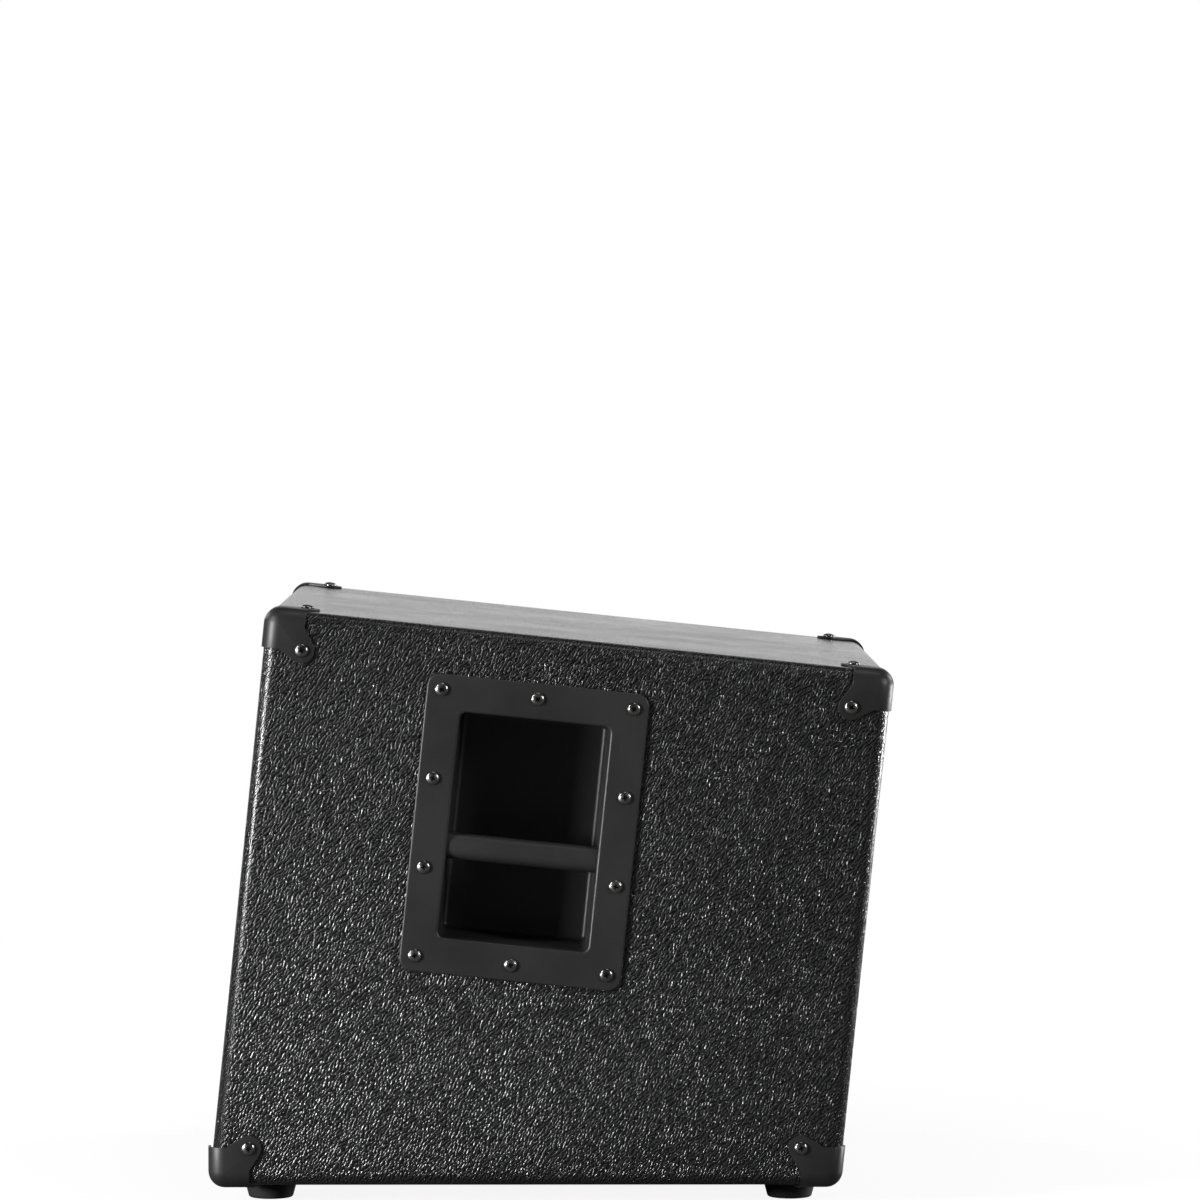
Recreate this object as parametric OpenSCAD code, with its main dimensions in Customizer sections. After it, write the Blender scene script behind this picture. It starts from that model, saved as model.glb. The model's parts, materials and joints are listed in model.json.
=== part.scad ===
// Slanted bass speaker cabinet: a plywood box under black vinyl that leans back on a level bottom.
// The box is drawn upright, with y = 0 at its front face, and is then leaned back as one.

/* [Cabinet] */
// Width across the side faces
width = 470; // [450:5:510]
// Depth of the box, square to its front
depth = 440; // [430:5:470]
// Height of the front face along its slope
front_h = 408; // [400:2:430]
// Angle by which the front leans back, in degrees
tilt = 5.9; // [4:0.1:7]
// Radius of the rounded outer edges
edge_r = 10; // [8:0.5:12]
// Thickness of the plywood panels
ply = 15; // [12:1:16]
// Thickness of the vinyl covering
skin = 0.8; // [0.6:0.1:1.2]
// Depth of the speaker board behind the front face
baffle_recess = 32; // [30:1:38]
// Thickness of the speaker board
baffle_t = 18; // [15:1:21]

/* [Corner caps] */
// Length of each leg of a cap
cap_leg = 27.5; // [24:0.5:30]
// Width of the web beside the lobe
cap_web = 11; // [10.5:0.5:13]
// Radius of the screw lobe
cap_lobe_r = 9; // [8:0.5:10]
// Distance from the edges to the cap's screw
cap_screw_inset = 27; // [25:0.5:28]
// Thickness of the moulding
cap_t = 1.6; // [1.2:0.1:2]

/* [Side handles] */
// Centre of the handle behind the front face
handle_y = 194.6; // [185:1:215]
// Centre of the handle below the top face
handle_drop = 137.6; // [130:1:150]
// Width of the handle's flange
flange_w = 156; // [150:1:164]
// Height of the handle's flange
flange_h = 209.5; // [204:1:216]
// Thickness of the flange and of the tray's walls
tray_t = 2.4; // [2:0.1:3]
// Width of the mouth
mouth_w = 105.5; // [100:0.5:110]
// Height of the mouth
mouth_h = 158.5; // [150:0.5:164]
// Depth of the tray behind the side face
tray_depth = 62; // [50:1:64]
// Height of the carrying bar
bar_h = 18.2; // [16:0.2:22]
// Drop of the bar below the middle of the mouth
bar_drop = 14.9; // [10:0.5:20]

/* [Feet] */
// Height of a rubber foot
foot_h = 15; // [12:1:20]
// Diameter of a foot where it meets the bottom
foot_d = 38; // [34:1:40]
// Diameter of a foot on the floor
foot_floor_d = 32; // [28:1:34]
// Distance from the bottom's front end to the front feet
foot_from_front = 41; // [38:1:60]
// Distance from the bottom's back end to the back feet
foot_from_back = 33; // [30:1:60]
// Distance from the side faces to the feet
foot_from_side = 60; // [58:1:80]

/* [Grille] */
// Pitch of the perforation
hole_pitch = 18; // [16:1:22]
// Width of the bridges between the holes
hole_bridge = 4; // [3:0.5:6]
// Thickness of the grille's sheet
sheet_t = 1.2; // [1:0.1:1.6]

/* [Woofer] */
// Position of the woofer's axis across the cabinet
woofer_x = -54; // [-58:1:-50]
// Outer radius of the frame's flange
frame_r = 155.5; // [153:0.5:156]
// Radius of the cutout in the speaker board
cutout_r = 141; // [140:0.5:142]
// Radius of the bolt circle
bolt_circle_r = 148.5; // [147:0.5:149.5]
// Largest travel of the cone each way
cone_travel = 6; // [3:0.5:7]

/* [Horn and ports] */
// Position of the column of horn and ports across the cabinet
column_x = 160; // [158:1:161]
// Height of the horn's centre along the front
horn_z = 110; // [106:1:114]
// Side of the horn's square flange
horn_side = 92; // [88:1:94]
// Inner radius of the port tubes
port_r = 34; // [30:1:35]
// Length of the port tubes
port_length = 85; // [70:1:100]

/* [Rear input] */
// Width of the input plate
plate_w = 150; // [146:1:160]
// Height of the input plate
plate_h = 90; // [84:1:100]
// Height of the plate's centre along the back
plate_z = 190; // [170:1:210]
// Radius of the bore for a quarter-inch jack plug
jack_r = 3.3; // [3.25:0.01:3.4]

/* [Hidden] */
$fn = 48;
arc_steps = 6;
sliver = 0.02;
over = 1;

// Colours as the photograph shows them, or as such pieces usually are
vinyl_colour = [0.09, 0.09, 0.09];
moulding_colour = [0.13, 0.13, 0.13];
rubber_colour = [0.06, 0.06, 0.06];
steel_colour = [0.55, 0.55, 0.56];
wood_colour = [0.72, 0.56, 0.38];
black_paint_colour = [0.08, 0.08, 0.08];
paper_colour = [0.12, 0.12, 0.13];
copper_colour = [0.72, 0.42, 0.25];
board_colour = [0.12, 0.3, 0.18];
wire_colour = [0.5, 0.08, 0.06];

// Box: inner faces and the four corners that its rounded edges turn about
wall = skin + ply;
in_x = width / 2 - wall;
in_top = front_h - wall;
in_back = depth - wall;
function floor_z(y, off = wall) = y * tan(tilt) + off / cos(tilt);
box_core = [
    [edge_r, floor_z(edge_r, edge_r)],
    [depth - edge_r, floor_z(depth - edge_r, edge_r)],
    [depth - edge_r, front_h - edge_r],
    [edge_r, front_h - edge_r]
];
// Outward directions of the front, bottom, back and top faces, in the plane of the side faces
box_turns = [180, 270 + tilt, 360, 450, 540];
level_depth = depth / cos(tilt);

// Handle, feet, grille, speakers and rear
handle_z = front_h - handle_drop;
cap_gap = 0.1;
cap_reach = 60;
cap_wrap = 6;
cap_out = cap_gap + cap_t;
screw_head_r = 4.75;
screw_head_h = 2.6;
screw_shank_r = 1.9;
cap_screw_length = 13;
handle_screw_length = 15;
handle_screw_pitch = [135 / 2, 187.5 / 3];
flange_corner_r = 9;
mouth_corner_r = 5;
tray_floor_r = 4;
tray_draft = 1.5;
bar_depth = 15;
bar_sink = 1.5;
bar_end = 2;
cut_room = 1.5;
grille_y = 5;
grille_room = 1;
grille_border = 14;
grille_fold = baffle_recess - grille_y;
woofer_z = front_h / 2 + 2;
flange_t = 5.5;
port_upper_z = horn_z + 224;
port_lower_z = horn_z + 116;
port_wall = 2.5;
port_flange_r = 43;
plate_t = 1.5;
socket_x = 45;
socket_flange = [26, 31];
socket_t = 2;
socket_depth = 24;
knob_x = -45;
shaft_r = 3;
knob_r = 11;
batten = 15;

// Places the upright box: leaned back, its level bottom on the feet, its middle over the origin
module leaned_back() {
    reach = depth * cos(tilt) + front_h * sin(tilt);
    translate([0, -reach / 2, foot_h]) rotate([-tilt, 0, 0]) children();
}

// Turns back to level about the box's bottom front edge, for what sits on the bottom
module level() {
    rotate([tilt, 0, 0]) children();
}

// Extrudes an outline drawn in (y, z) along x
module along_x(from_x, to_x) {
    translate([from_x, 0, 0]) rotate([90, 0, 90]) linear_extrude(to_x - from_x) children();
}

// Draws with z pointing out of the front, or out of the back
module facing_front(x, y, z) {
    translate([x, y, z]) rotate([90, 0, 0]) children();
}

module facing_back(x, y, z) {
    translate([x, y, z]) rotate([-90, 0, 0]) children();
}

module on_side(side) {
    mirror([side < 0 ? 1 : 0, 0, 0]) children();
}

function arc(centre, r, from_a, to_a, steps = arc_steps) = [
    for (k = [0:steps]) let (a = from_a + (to_a - from_a) * k / steps) centre + r * [cos(a), sin(a)]
];

function rounded_outline(core, turns, r) = [
    for (i = [0:3]) each arc(core[i], r, turns[i], turns[i + 1])
];

module rounded_rect(size, r) {
    half = size / 2 - [r, r];
    polygon([
        each arc([half[0], half[1]], r, 0, 90),
        each arc([-half[0], half[1]], r, 90, 180),
        each arc([-half[0], -half[1]], r, 180, 270),
        each arc([half[0], -half[1]], r, 270, 360)
    ]);
}

// Solid skinned over a row of outlines with equal counts, each given as 3-D points, closed by its first
// and last outline
module loft(outlines) {
    count = len(outlines[0]);
    last = len(outlines) - 1;
    polyhedron([for (outline = outlines) each outline], [
        [for (k = [0:count - 1]) k],
        for (i = [0:last - 1], k = [0:count - 1]) let (n = (k + 1) % count) each [
            [i * count + k, (i + 1) * count + k, (i + 1) * count + n],
            [i * count + k, (i + 1) * count + n, i * count + n]
        ],
        [for (k = [count - 1:-1:0]) last * count + k]
    ]);
}

function at_x(x, outline) = [for (p = outline) [x, p[0], p[1]]];

// Outlines that shrink like a ball's slices as they near the side face
function end_outlines(core, turns, x, r) = [
    for (k = [0:arc_steps]) let (a = min(90 * k / arc_steps, 86))
        at_x(x + r * sin(90 * k / arc_steps), rounded_outline(core, turns, r * cos(a)))
];

function reversed(list) = [for (k = [len(list) - 1:-1:0]) list[k]];

// The whole box with all its edges rounded, grown by off
module rounded_box(off) {
    x = width / 2 - edge_r;
    right = end_outlines(box_core, box_turns, x, edge_r + off);
    left = [for (outline = reversed(right)) [for (p = outline) [-p[0], p[1], p[2]]]];
    loft([each left, each right]);
}

// Fasteners: head above z = 0 with a cross recess, shank below it
module screw_head(r, h) {
    dome = [for (k = [0:4]) [r * cos(18 * k), 0.35 * h + 0.65 * h * sin(18 * k)]];
    difference() {
        rotate_extrude() polygon([[0, 0], [r, 0], each dome, [0, h]]);
        translate([0, 0, h]) for (a = [0, 90])
            rotate(a) cube([1.1 * r, 0.26 * r, 1.3 * h], center = true);
    }
}

module wood_screw(length) {
    screw_head(screw_head_r, screw_head_h);
    screw_shank(length);
}

// Clearance hole down to deep below z = 0
module screw_hole(deep, r = screw_shank_r + 0.2) {
    translate([0, 0, -deep]) cylinder(r = r, h = deep + over, $fn = 16);
}

module screw_shank(length) {
    translate([0, 0, -length]) cylinder(r = screw_shank_r, h = length, $fn = 16);
}

// Side panels
module handle_cutout() {
    size = [mouth_w, mouth_h] + 2 * (tray_t + cut_room) * [1, 1];
    translate([0, handle_y, handle_z])
        along_x(width / 2 - wall - over, width / 2 + over)
            rounded_rect(size, mouth_corner_r + tray_t + cut_room);
}

module side_panel() {
    r = edge_r - skin;
    difference() {
        loft([
            at_x(in_x, rounded_outline(box_core, box_turns, r)),
            each end_outlines(box_core, box_turns, width / 2 - edge_r, r)
        ]);
        handle_cutout();
        handle_screw_places() screw_shank(handle_screw_length);
        all_cap_screw_places([1], ["side"]) screw_shank(cap_screw_length);
    }
}

// Panels between the sides
module top_panel() {
    r = edge_r - skin;
    difference() {
        along_x(-in_x, in_x) polygon([
            [skin, in_top], [depth - skin, in_top],
            each arc(box_core[2], r, 0, 90), each arc(box_core[3], r, 90, 180)
        ]);
        all_cap_screw_places([-1, 1], ["top"]) screw_shank(cap_screw_length);
    }
}

module bottom_panel() {
    r = edge_r - skin;
    difference() {
        along_x(-in_x, in_x) polygon([
            [depth - skin, floor_z(depth - skin)], [skin, floor_z(skin)],
            each arc(box_core[0], r, box_turns[0], box_turns[1]),
            each arc(box_core[1], r, box_turns[1], box_turns[2])
        ]);
        all_cap_screw_places([-1, 1], ["bottom"]) screw_shank(cap_screw_length);
        all_foot_places() foot_screw_shank();
    }
}

function inner_outline(from_y, to_y) = [
    [from_y, floor_z(from_y)], [to_y, floor_z(to_y)], [to_y, in_top], [from_y, in_top]
];

module plate_cutout(room) {
    facing_back(0, in_back - over, plate_z)
        linear_extrude(wall + 3 * over) rounded_rect([plate_w - 24 + room, plate_h - 22 + room], 4);
}

module back_panel() {
    difference() {
        along_x(-in_x, in_x) polygon(inner_outline(in_back, in_back + ply));
        plate_cutout(0);
        input_plate_screw_places() small_screw_shank(plate_screw_length);
    }
}

module baffle_board() {
    back = baffle_recess + baffle_t;
    difference() {
        along_x(-in_x, in_x) polygon(inner_outline(baffle_recess, back));
        facing_front(woofer_x, back + over, woofer_z) cylinder(r = cutout_r, h = baffle_t + 2 * over);
        facing_front(column_x, back + over, horn_z) cylinder(r = horn_body_r + 1, h = baffle_t + 2 * over);
        for (z = [port_upper_z, port_lower_z])
            facing_front(column_x, back + over, z)
                cylinder(r = port_r + port_wall + 0.3, h = baffle_t + 2 * over);
        woofer_bolt_places() woofer_bolt_shank();
        horn_screw_places() small_screw_shank(plate_screw_length);
        grille_screw_places() small_screw_shank(grille_screw_length);
    }
}

// Frame across the middle of the box, with one large window
module window_brace() {
    y = 270;
    rail = 50;
    along_x(-in_x, in_x) polygon([
        [y, floor_z(y)], [y + ply, floor_z(y + ply)],
        [y + ply, floor_z(y + ply) + rail], [y, floor_z(y + ply) + rail]
    ]);
    along_x(-in_x, in_x) translate([y, in_top - rail]) square([ply, rail]);
    for (side = [-1, 1])
        on_side(side) translate([in_x - rail, y, floor_z(y + ply) + rail])
            cube([rail, ply, in_top - floor_z(y + ply) - 2 * rail]);
}

// Glue blocks behind the speaker board and in front of the back panel
module batten_ring(y) {
    z = floor_z(y + batten) + batten;
    along_x(-in_x, in_x) polygon([
        [y, floor_z(y)], [y + batten, floor_z(y + batten)], [y + batten, z], [y, z]
    ]);
    along_x(-in_x, in_x) translate([y, in_top - batten]) square(batten);
    for (side = [-1, 1])
        on_side(side) translate([in_x - batten, y, z + cut_room])
            cube([batten, batten, in_top - z - batten - 2 * cut_room]);
}

module battens() {
    batten_ring(baffle_recess + baffle_t);
    batten_ring(in_back - batten);
}

// Vinyl over all the outside, turned in round the front opening as far as the speaker board
module front_opening(inset) {
    x = in_x - inset;
    along_x(-x, x) polygon([
        [-over, floor_z(-over, wall + inset)], [baffle_recess, floor_z(baffle_recess, wall + inset)],
        [baffle_recess, in_top - inset], [-over, in_top - inset]
    ]);
}

module covering() {
    difference() {
        rounded_box(0);
        difference() {
            rounded_box(-skin);
            front_opening(0);
        }
        front_opening(skin);
        for (side = [-1, 1]) on_side(side) {
            handle_cutout();
            handle_screw_places() screw_shank(handle_screw_length);
        }
        plate_cutout(0);
        all_cap_screw_places([-1, 1], ["side", "top", "bottom"]) screw_shank(cap_screw_length);
        all_foot_places() foot_screw_shank();
        input_plate_screw_places() small_screw_shank(plate_screw_length);
    }
}

// Corner caps. Each is drawn at a corner that its three faces run away from along +x, +y and +z,
// and lean opens the angle between its y and z faces
function cap_core(lean) =
    let (
        up = cap_reach * [-sin(lean), cos(lean)],
        away = [cap_reach, 0],
        first = [edge_r * (1 - sin(lean)) / cos(lean), edge_r]
    ) [first, first + away, first + away + up, first + up];

module cap_block(off, lean) {
    turns = [180 + lean, 270, 360, 450 + lean, 540 + lean];
    outlines = end_outlines(cap_core(lean), turns, -edge_r, edge_r + off);
    mirror([1, 0, 0])
        loft([at_x(-cap_reach, rounded_outline(cap_core(lean), turns, edge_r + off)), each outlines]);
}

// Legs of a cap on one face, with the screw's lobe on the diagonal
function lobe_outline() =
    let (
        from_web = cap_screw_inset - cap_web,
        to_lobe = norm([cap_screw_inset - cap_leg, from_web]),
        a = atan2(from_web, cap_screw_inset - cap_leg) - asin(cap_lobe_r / to_lobe) - 90,
        out = -2 * cap_out
    ) [
        [out, out], [cap_leg, out], [cap_leg, cap_web],
        each arc([1, 1] * cap_screw_inset, cap_lobe_r, a, 90 - a, 12),
        [cap_web, cap_leg], [out, cap_leg]
    ];

// On the front and the back a cap only covers the panels' edge
function rim_outline() =
    let (out = -2 * cap_out, rim = wall - 0.5)
    [[out, out], [cap_leg, out], [cap_leg, rim], [rim, rim], [rim, cap_leg], [out, cap_leg]];

// Prism over one face's legs, deep enough to take half of each rounded edge beside it
module cap_face(outline) {
    translate([0, 0, -2 * cap_out]) linear_extrude(cap_wrap + 2 * cap_out) polygon(outline);
}

module cap_screw_places(faces) {
    at = cap_screw_inset;
    for (face = faces) {
        if (face == "side") translate([-cap_out, at, at]) rotate([0, -90, 0]) children();
        if (face == "top" || face == "bottom")
            translate([at, at, -cap_out]) rotate([180, 0, 0]) children();
    }
}

module corner_cap(lean = 0) {
    color(moulding_colour) difference() {
        intersection() {
            difference() {
                cap_block(cap_out, lean);
                cap_block(cap_gap, lean);
            }
            union() {
                rotate([90, 0, 90]) cap_face(lobe_outline());
                cap_face(lobe_outline());
                rotate([lean, 0, 0]) rotate([90, 0, 0]) mirror([0, 0, 1])
                    cap_face(rim_outline());
            }
        }
        cap_screw_places(["side", "top"])
            screw_hole(cap_t + over);
    }
}

// Frames at the eight corners of the box. The lower front caps stay square to the bottom
module at_corner(side, end, level_name) {
    on_side(side) translate([width / 2, 0, 0]) mirror([1, 0, 0]) {
        if (level_name == "top" && end == "front") translate([0, 0, front_h]) mirror([0, 0, 1]) children();
        if (level_name == "top" && end == "back")
            translate([0, depth, front_h]) mirror([0, 0, 1]) mirror([0, 1, 0]) children();
        if (level_name == "bottom") level() {
            square_shift = edge_r * (1 / cos(tilt) + tan(tilt) - 1);
            if (end == "front") translate([0, square_shift, 0]) children();
            if (end == "back") translate([0, level_depth, 0]) mirror([0, 1, 0]) children();
        }
    }
}

module all_cap_screw_places(sides, faces) {
    for (side = sides, end = ["front", "back"], level_name = ["top", "bottom"]) {
        wanted = [for (face = faces) if (face == "side" || face == level_name) face];
        at_corner(side, end, level_name) cap_screw_places(wanted) children();
    }
}

// Side handles: a moulded tray with its flange in one piece, and a bar that runs through both its walls
module handle_screw_places() {
    pitch = handle_screw_pitch;
    translate([width / 2 + tray_t, handle_y, handle_z]) rotate([90, 0, 90]) {
        for (u = [-1, 0, 1], v = [-1.5, -0.5, 0.5, 1.5])
            if (abs(v) > 1 || u != 0) translate([u * pitch[0], v * pitch[1], 0]) children();
    }
}

// Tapering pocket that is rounded along its floor
module tray_pocket(grow, deep) {
    r = tray_floor_r + grow;
    half = [mouth_w, mouth_h] / 2 - (tray_draft + tray_floor_r) * [1, 1];
    hull() {
        along_x(-sliver, 0) rounded_rect([mouth_w, mouth_h] + 2 * grow * [1, 1], mouth_corner_r + grow);
        for (u = [-1, 1], v = [-1, 1])
            translate([r - deep, u * half[0], v * half[1]]) sphere(r = r, $fn = 32);
    }
}

module bar_profile() {
    rounded_rect([bar_depth, bar_h], 7);
}

module bar_solid(half_length) {
    translate([-bar_sink - bar_depth / 2, half_length, -bar_drop])
        rotate([90, 0, 0]) linear_extrude(2 * half_length) bar_profile();
}

module handle_tray() {
    difference() {
        translate([width / 2, handle_y, handle_z]) difference() {
            union() {
                along_x(0, tray_t) rounded_rect([flange_w, flange_h], flange_corner_r);
                tray_pocket(tray_t, tray_depth);
            }
            tray_pocket(0, tray_depth - tray_t);
            along_x(-sliver, tray_t + over) rounded_rect([mouth_w, mouth_h], mouth_corner_r);
            bar_solid(mouth_w / 2 + bar_end);
        }
        handle_screw_places()
            screw_hole(tray_t + over);
    }
}

module handle_bar() {
    translate([width / 2, handle_y, handle_z]) bar_solid(mouth_w / 2 + bar_end);
}

// Feet stand on the floor below the level bottom
foot_head_room = 9;
foot_screw_r = 2.1;
foot_screw_length = 13;

module all_foot_places() {
    level() for (side = [-1, 1], y = [foot_from_front, level_depth - foot_from_back])
        translate([side * (width / 2 - foot_from_side), y, 0]) children();
}

module foot(side, at_front) {
    y = at_front ? foot_from_front : level_depth - foot_from_back;
    top_r = foot_d / 2;
    floor_r = foot_floor_d / 2;
    edge = 2;
    level() translate([side * (width / 2 - foot_from_side), y, -foot_h]) difference() {
        rotate_extrude() polygon([
            [0, 0], each arc([floor_r - edge, edge], edge, 270, 350, 4),
            [top_r, foot_h - 2], [top_r, foot_h],
            [0, foot_h]
        ]);
        translate([0, 0, -over]) cylinder(r = 6, h = foot_head_room + over);
        cylinder(r = foot_screw_r + 0.1, h = foot_h + over, $fn = 24);
    }
}

module foot_screw_shank() {
    bottom = foot_head_room - foot_h;
    translate([0, 0, bottom]) cylinder(r = foot_screw_r, h = foot_screw_length - bottom, $fn = 16);
}

module foot_screws() {
    all_foot_places() {
        foot_screw_shank();
        translate([0, 0, foot_head_room - foot_h]) mirror([0, 0, 1]) screw_head(screw_head_r, screw_head_h);
    }
}

// Grille: one folded sheet with staggered round holes, screwed to the speaker board
grille_half_w = in_x - skin - grille_room;
grille_top = in_top - skin - grille_room;
grille_screw_length = grille_fold + 12;
grille_screw_inset = 5.7;

function grille_outline(inset) =
    let (
        x = grille_half_w - inset,
        bottom = floor_z(baffle_recess, wall + skin) + grille_room + inset
    ) [[-x, bottom], [x, bottom], [x, grille_top - inset], [-x, grille_top - inset]];

// Sheets drawn in (x, z), with their front at y
module sheet(y, thick) {
    translate([0, y + thick, 0]) rotate([90, 0, 0]) linear_extrude(thick) children();
}

// Middles of the holes, in staggered rows that keep clear of the border and of the screws
function hole_middles() =
    let (
        row = hole_pitch * sin(60),
        low = grille_outline(grille_border)[0],
        high = grille_outline(grille_border)[2],
        rows = floor((high[1] - low[1]) / row),
        start = (low[1] + high[1] - rows * row) / 2,
        columns = floor(high[0] / hole_pitch)
    ) [
        for (j = [0:rows], i = [-columns:columns])
            let (x = (i + (j % 2) / 2) * hole_pitch)
            if (abs(x) <= high[0]) [x, start + j * row]
    ];

module grille() {
    screw_points = grille_screw_points();
    sheet(grille_y, sheet_t) difference() {
        polygon(grille_outline(0));
        for (m = hole_middles()) translate(m) circle(r = (hole_pitch - hole_bridge) / 2, $fn = 24);
        for (p = screw_points) translate(p) circle(r = 2.2, $fn = 16);
    }
    sheet(grille_y + sheet_t, grille_fold - sheet_t) difference() {
        polygon(grille_outline(0));
        polygon(grille_outline(sheet_t));
    }
}

function grille_screw_points() =
    let (edge = grille_outline(grille_screw_inset), low = edge[0], high = edge[2], mid = (low + high) / 2)
    [for (x = [low[0], mid[0], high[0]], z = [low[1], mid[1], high[1]]) if ([x, z] != mid) [x, z]];

module grille_screw_places() {
    for (p = grille_screw_points()) facing_front(p[0], grille_y, p[1]) children();
}

module small_screw(length) {
    screw_head(3.4, 2);
    small_screw_shank(length);
}

module small_screw_shank(length) {
    translate([0, 0, -length]) cylinder(r = 1.6, h = length, $fn = 16);
}

// Woofer, drawn with z = 0 on the front of the speaker board and z pointing out of the front
bolt_r = 2.6;
bolt_length = 26;
gap_outer_r = 27;
pole_r = 24.4;
motor_r = 60;
arm_count = 6;
basket_floor = -92;
cone_neck = [25.6, -44];
cone_rim = [121, 5.2];
roll_r = 8.2;
roll_mid_r = 128.5;
lip_t = 0.8;

module woofer_axis() {
    facing_front(woofer_x, baffle_recess, woofer_z) children();
}

module woofer_bolt_places() {
    woofer_axis() for (k = [0:7])
        rotate(22.5 + 45 * k) translate([bolt_circle_r, 0, flange_t]) children();
}

module woofer_basket() {
    seat_r = 137.8;
    difference() {
        woofer_axis() difference() {
            rotate_extrude() polygon([
                [seat_r, flange_t], [frame_r, flange_t], [frame_r, 0], [140, 0],
                [136, -20], [78, -58], [78, -82], [64, basket_floor], [gap_outer_r, basket_floor],
                [gap_outer_r, basket_floor + 4], [62, basket_floor + 4], [74, -80], [74, -53], [66, -53],
                [66, -50], [75, -50], [132, -12], [seat_r - 2, 0], [seat_r, 2]
            ]);
            for (k = [0:arm_count - 1])
                rotate(360 / arm_count * (k + 0.5)) translate([60, 0, -45]) rotate([0, -33, 0])
                    hull() for (near = [0, 1])
                        translate([near ? 26 : 78, 0, 0]) cube([6, near ? 40 : 92, 60], center = true);
        }
        woofer_bolt_places() translate([0, 0, -flange_t - over])
            cylinder(r = bolt_r + 0.3, h = flange_t + 2 * over, $fn = 24);
    }
}

module woofer_gasket() {
    woofer_axis() difference() {
        translate([0, 0, flange_t + lip_t]) cylinder(r = 143.5, h = 2.6);
        cylinder(r = 138.5, h = 20);
    }
}

module ring(outer, inner, from_z, to_z) {
    difference() {
        translate([0, 0, from_z]) cylinder(r = outer, h = to_z - from_z);
        translate([0, 0, from_z - over]) cylinder(r = inner, h = to_z - from_z + 2 * over);
    }
}

module woofer_top_plate() {
    woofer_axis() ring(motor_r, gap_outer_r, basket_floor - 8, basket_floor);
}

module woofer_magnet() {
    woofer_axis() ring(motor_r - 3, 34, basket_floor - 24, basket_floor - 8);
}

module woofer_back_plate() {
    woofer_axis() difference() {
        union() {
            translate([0, 0, basket_floor - 32]) cylinder(r = motor_r, h = 8);
            translate([0, 0, basket_floor - 32]) cylinder(r = pole_r, h = 32);
        }
        translate([0, 0, basket_floor - 32 - over]) cylinder(r = 9, h = 60);
    }
}

// Thin curved profile of the cone, from neck to rim
function cone_line() = [
    for (k = [0:6]) let (f = k / 6, sag = 7 * sin(180 * f))
        cone_neck + f * (cone_rim - cone_neck) + sag * [0.45, -1]
];

module woofer_cone() {
    line = cone_line();
    woofer_axis() rotate_extrude() polygon([each line, each reversed([for (p = line) p - [0, 1]])]);
}

module woofer_surround() {
    z = flange_t;
    woofer_axis() rotate_extrude() polygon([
        [119, z], [roll_mid_r - roll_r + lip_t, z],
        each arc([roll_mid_r, z], roll_r - lip_t, 180, 0, 12),
        [roll_mid_r + roll_r, z], [143.5, z], [143.5, z + lip_t],
        each arc([roll_mid_r, z + lip_t], roll_r, 0, 180, 12),
        [119, z + lip_t]
    ]);
}

module woofer_dust_cap() {
    seat = cone_line()[1];
    rim_r = seat[0];
    rise = 15;
    ball_r = (rim_r * rim_r + rise * rise) / (2 * rise);
    half = asin(rim_r / ball_r);
    z = seat[1] + 0.5;
    woofer_axis() translate([0, 0, z + rise - ball_r]) rotate_extrude() polygon([
        each arc([0, 0], ball_r, 90 - half, 90, 8),
        each arc([0, 0], ball_r - 0.8, 90, 90 - half, 8)
    ]);
}

module woofer_voice_coil() {
    woofer_axis() {
        ring(25.6, 25, basket_floor - 10, cone_neck[1] + 3);
        ring(26.5, 25.6, basket_floor - 10, basket_floor + 6);
    }
}

module woofer_spider() {
    steps = 30;
    from_r = 30;
    to_r = 66;
    shelf = -50 + 0.7;
    wave = [
        [25.8, shelf],
        for (k = [0:steps]) [from_r + (to_r - from_r) * k / steps, shelf + 2 * sin(360 * 4 * k / steps)],
        [73.6, shelf]
    ];
    woofer_axis() rotate_extrude() polygon([each wave, each reversed([for (p = wave) p - [0, 0.7]])]);
}

terminal_at = [0, 78, -70];

module woofer_terminals() {
    woofer_axis() translate(terminal_at) {
        translate([-14, 0, -8]) cube([28, 3, 16]);
        for (x = [-8, 4]) translate([x, 3, -3]) cube([4, 7, 5]);
    }
}

module woofer_bolts() {
    woofer_bolt_places() {
        difference() {
            cylinder(r = 4.6, h = 4.5);
            translate([0, 0, 2]) cylinder(r = 2.3, h = 4, $fn = 6);
        }
        woofer_bolt_shank();
    }
}

module woofer_bolt_shank() {
    translate([0, 0, -bolt_length]) cylinder(r = bolt_r, h = bolt_length, $fn = 16);
}

// Horn: a round flare that grows exponentially from its throat, on a square flange
horn_flange_t = 4;
horn_depth = 56;
horn_mouth_r = 38;
horn_throat_r = 12.7;
horn_wall = 2.5;
horn_body_r = horn_mouth_r + horn_wall;

module horn_axis() {
    facing_front(column_x, baffle_recess, horn_z) children();
}

module horn_screw_places() {
    at = horn_side / 2 - 8;
    horn_axis() for (x = [-at, at], y = [-at, at]) translate([x, y, horn_flange_t]) children();
}

function horn_radius(f) = horn_throat_r * pow(horn_mouth_r / horn_throat_r, pow(f, 1.25));

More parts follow.
